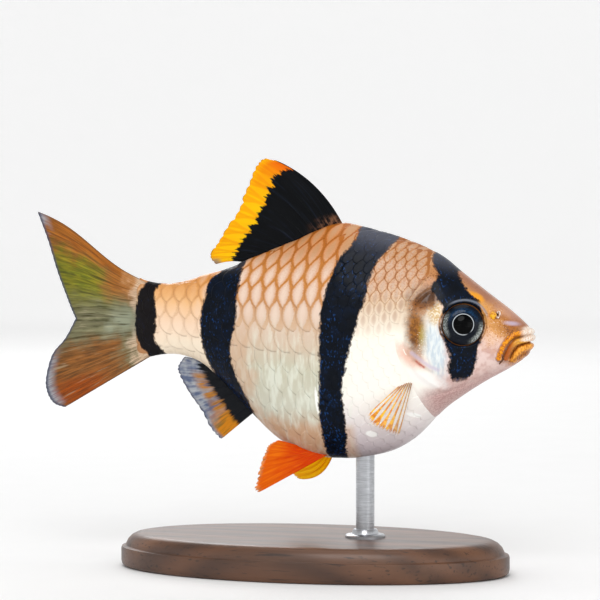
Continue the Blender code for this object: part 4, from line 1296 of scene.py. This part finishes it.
def pectoral_look(rays):
    """Golden rays in a skin that is nearly clear."""
    made = Surface("pectoral fin", Roughness=0.32, Specular_IOR_Level=0.15, Coat_Weight=0.2)
    u, v = made.local()
    on_ray = fin_rays(made, rays, u, v, 0.62).step(0.24, 0.12)
    gold = layered((214, 124, 6), ((252, 190, 36), made.noise(0.5).step(0.4, 0.6)),
                   ((176, 140, 110), u.step(0.45, 0.95) * 0.75))
    colour = layered((250, 240, 222), (gold, on_ray), ((128, 74, 20), on_ray * v.step(0.22, 0.02) * 0.7))
    clear = 0.07 + on_ray * 0.86 * v.step(1.0, 0.86) + v.step(0.10, 0.0) * 0.3
    return made.paint(Base_Color=colour, Alpha=clear.least(1.0)).bump(on_ray, 0.03, 0.5).material


def through(points):
    return lambda share: along(points, share)


def tail_margin(share):
    upper = along(TAIL_MARGIN_UPPER, np.clip(share * 2, 0, 1))
    lower = along(TAIL_MARGIN_LOWER, np.clip(share * 2 - 1, 0, 1))
    return np.where((share <= 0.5)[:, None], upper, lower)


def mirrored(points):
    return tuple((x, -y, z) for x, y, z in points)


def fins():
    """Every fin as a skin and its rays. The ray counts are the look's as well as the shape's."""
    pectoral = {"look": pectoral_look(7), "rays": 7, "sunk": 0.6, "fray": 0.10, "thick": 0.022, "ray_thick": 0.07,
                "split": 0.62, "seed": 7, "rows": 24}
    red = orange_look("pelvic fin right", 9, (232, 72, 2), (255, 142, 12), (250, 196, 120), (244, 104, 6), 0.40)
    # The left pelvic fin, on the far side, is a brighter gold than the right one's orange: painted light that makes up
    # for the shade it sits in.
    gold = orange_look("pelvic fin left", 9, (255, 204, 14), (255, 232, 60), (252, 220, 140), (255, 218, 34), 0.65)
    made = (
        (("dorsal_fin",), "black_fin", DORSAL_ROOT, DORSAL_MARGIN,
         {"look": dorsal_look(12), "rays": 12, "bow": (0.7, 0, 0.95), "fray": 0.022, "seed": 3, "lift": 0.45}),
        (("anal_fin",), "black_fin", ANAL_ROOT, ANAL_MARGIN,
         {"look": anal_look(9), "rays": 9, "fray": 0.03, "seed": 5, "rows": 30}),
        (("pectoral_fin_left",), "orange_fin", PECTORAL_ROOT, PECTORAL_MARGIN, pectoral),
        (("pectoral_fin_right",), "orange_fin", mirrored(PECTORAL_ROOT), mirrored(PECTORAL_MARGIN), pectoral),
        (("pelvic_fin_right",), "orange_fin", mirrored(PELVIC_ROOT), mirrored(PELVIC_MARGIN_RIGHT),
         {"look": red, "rays": 9, "sunk": 0.8, "split": 0.35, "seed": 9, "rows": 28}),
        (("pelvic_fin_left",), "orange_fin", PELVIC_ROOT, PELVIC_MARGIN_LEFT,
         {"look": gold, "rays": 9, "bow": (0.6, 0.3, -1.1), "sunk": 0.8, "split": 0.35, "seed": 11, "rows": 28}),
        (("tail_fin_upper", "tail_fin_lower"), "clear_fin", TAIL_ROOT, tail_margin,
         {"look": tail_look(20), "rays": 20, "sunk": 0.9, "fray": 0.006, "ray_thick": 0.085, "split": 0.30,
          "seed": 13, "rows": 54, "wave": 0.10, "swell": 0.55, "curl": -0.55}),
    )
    for nodes, slot, root, margin, details in made:
        name = "tail_fin" if len(nodes) == 2 else nodes[0]
        margin = margin if callable(margin) else through(margin)
        for piece in fin_sheet(f"{name}_skin", through(root), margin, **details):
            settle(piece, slot, *nodes)


# Stand and studio

def lathe(name, profile, look, middle=0.0, flatness=1.0, segments=96):
    """A shape turned from (radius, level) points, and flattened to an oval."""
    points = [(middle + radius * math.cos(turn), radius * flatness * math.sin(turn), level)
              for radius, level in profile for turn in turns(segments)]
    piece = face_out(make_piece(name, points, ring_faces(len(profile), segments, True), look))
    piece.data.set_sharp_from_angle(angle=math.radians(35))
    return piece


def wood_look():
    """Oiled walnut, with grain along the base."""
    made = Surface("walnut", Coat_Weight=0.15, Coat_Roughness=0.2)
    warp = made.noise(14.0, 2.0, (0.35, 1, 1))
    rings = ((made.y * 0.9 + made.z * 0.6 + warp * 9.0) * 1.6).math("SINE") * 0.5 + 0.5
    pores = made.noise(0.35, 3.0, (0.06, 1, 1))
    colour = layered(
        (92, 58, 36),
        ((58, 34, 20), rings * 0.8),
        ((120, 80, 52), made.noise(5.0, 3.0, (0.2, 1, 1)).step(0.45, 0.75) * 0.6),
        ((34, 20, 12), pores.step(0.58, 0.70) * 0.7),
    )
    return made.paint(Base_Color=colour, Roughness=0.34 + pores * 0.2).bump(pores, 0.04, 0.3).material


def steel_look():
    """Brushed steel, with marks round the rod."""
    made = Surface("brushed steel", Metallic=1.0)
    brush = made.noise(0.5, 3.0, (0.3, 0.3, 12))
    colour = mix((196, 198, 202), (160, 162, 166), brush.step(0.35, 0.65))
    return made.paint(Base_Color=colour, Roughness=0.22 + brush * 0.16).bump(brush, 0.01, 0.2).material


def stand():
    """An oval wooden foot with a moulded edge, and a steel rod in a collar."""
    wood, steel = wood_look(), steel_look()
    edge = [(BASE_LENGTH / 2 - inward, level) for inward, level in BASE_EDGE]
    base = lathe("display_base", edge, wood, BASE_MIDDLE, BASE_WIDTH / BASE_LENGTH, 160)
    settle(base, "wood", "stand_base")
    low = BASE_HEIGHT
    belly = float(station(np.array([0.0]))[1][0])
    rod = lathe("display_rod", [(ROD_RADIUS, low), (ROD_RADIUS, belly + 0.35),
                                (ROD_RADIUS - 0.35, belly + 0.7)], steel)
    collar = lathe("rod_collar", [(2.6, low), (2.6, low + 0.28), (2.45, low + 0.42), (1.75, low + 0.52),
                                  (1.62, low + 0.95), (1.5, low + 1.1), (ROD_RADIUS + 0.02, low + 1.12)], steel)
    for piece in (rod, collar):
        settle(piece, "steel", "stand_rod")


def studio():
    """A pale paper bowl with soft lights in it."""
    made = Surface("studio paper", Roughness=0.9, Specular_IOR_Level=0.1, Emission_Strength=0.32)
    wall = distance(made.x, made.y).step(240.0, 620.0)
    made.paint(Base_Color=mix((0.84, 0.84, 0.84, 1), (0.86, 0.86, 0.86, 1), made.noise(8.0)),
               Emission_Color=mix((0, 0, 0, 1), (1, 1, 1, 1), wall))
    profile = along(PAPER_PROFILE, np.linspace(0, 1, 40))
    segments, count = 96, len(profile)
    points = [(r * math.cos(t), r * math.sin(t), max(0.0, z)) for t in turns(segments) for r, z in profile]
    faces = grid_faces(segments, count, wrap=True).tolist()
    points.append((0, 0, 0))
    faces += [(((k + 1) % segments) * count, k * count, len(points) - 1) for k in range(segments)]
    floor = make_piece("studio_floor", points, faces, made.material)
    if floor.data.polygons[0].normal.z < 0:
        floor.data.flip_normals()
    world = bpy.data.worlds.new("studio")
    world.use_nodes = True
    background = world.node_tree.nodes["Background"].inputs
    background["Color"].default_value = (1, 1, 1, 1)
    background["Strength"].default_value = 0.5
    bpy.context.scene.world = world
    for name, place, size, power in LAMPS:
        light = bpy.data.lights.new(name, "AREA")
        light.shape = "DISK"
        light.size = size * MM
        light.energy = power
        lamp = put_in_scene(name, light)
        lamp.location = Vector(place) * MM
        aim = Vector(VIEW_CENTRE) * MM - lamp.location
        lamp.rotation_euler = aim.to_track_quat("-Z", "Y").to_euler()


def camera():
    """The photo's view, from a little in front of the fish's side and a little above."""
    swing, raise_by = math.radians(VIEW_SWING), math.radians(VIEW_RAISE)
    back = Vector((math.sin(swing) * math.cos(raise_by), -math.cos(swing) * math.cos(raise_by), math.sin(raise_by)))
    data = bpy.data.cameras.new("camera")
    data.lens = LENS
    data.sensor_width = 36.0
    made = put_in_scene("camera", data)
    distance_back = VIEW_WIDTH * LENS / data.sensor_width
    made.location = (Vector(VIEW_CENTRE) + back * distance_back) * MM
    made.rotation_euler = back.to_track_quat("Z", "Y").to_euler()
    bpy.context.scene.camera = made


def main():
    camera()
    studio()
    settle(skin(skin_look()), "skin", "head", "lower_jaw", "trunk", "tail_stalk",
           "gill_cover_right", "gill_cover_left")
    look = scale_look()
    for side, _ in SIDES:
        settle(scales(side, look), "skin", "trunk", "tail_stalk")
    eyes()
    feelers_and_nostrils()
    fins()
    stand()
    bpy.context.scene.view_settings.view_transform = "Standard"


main()
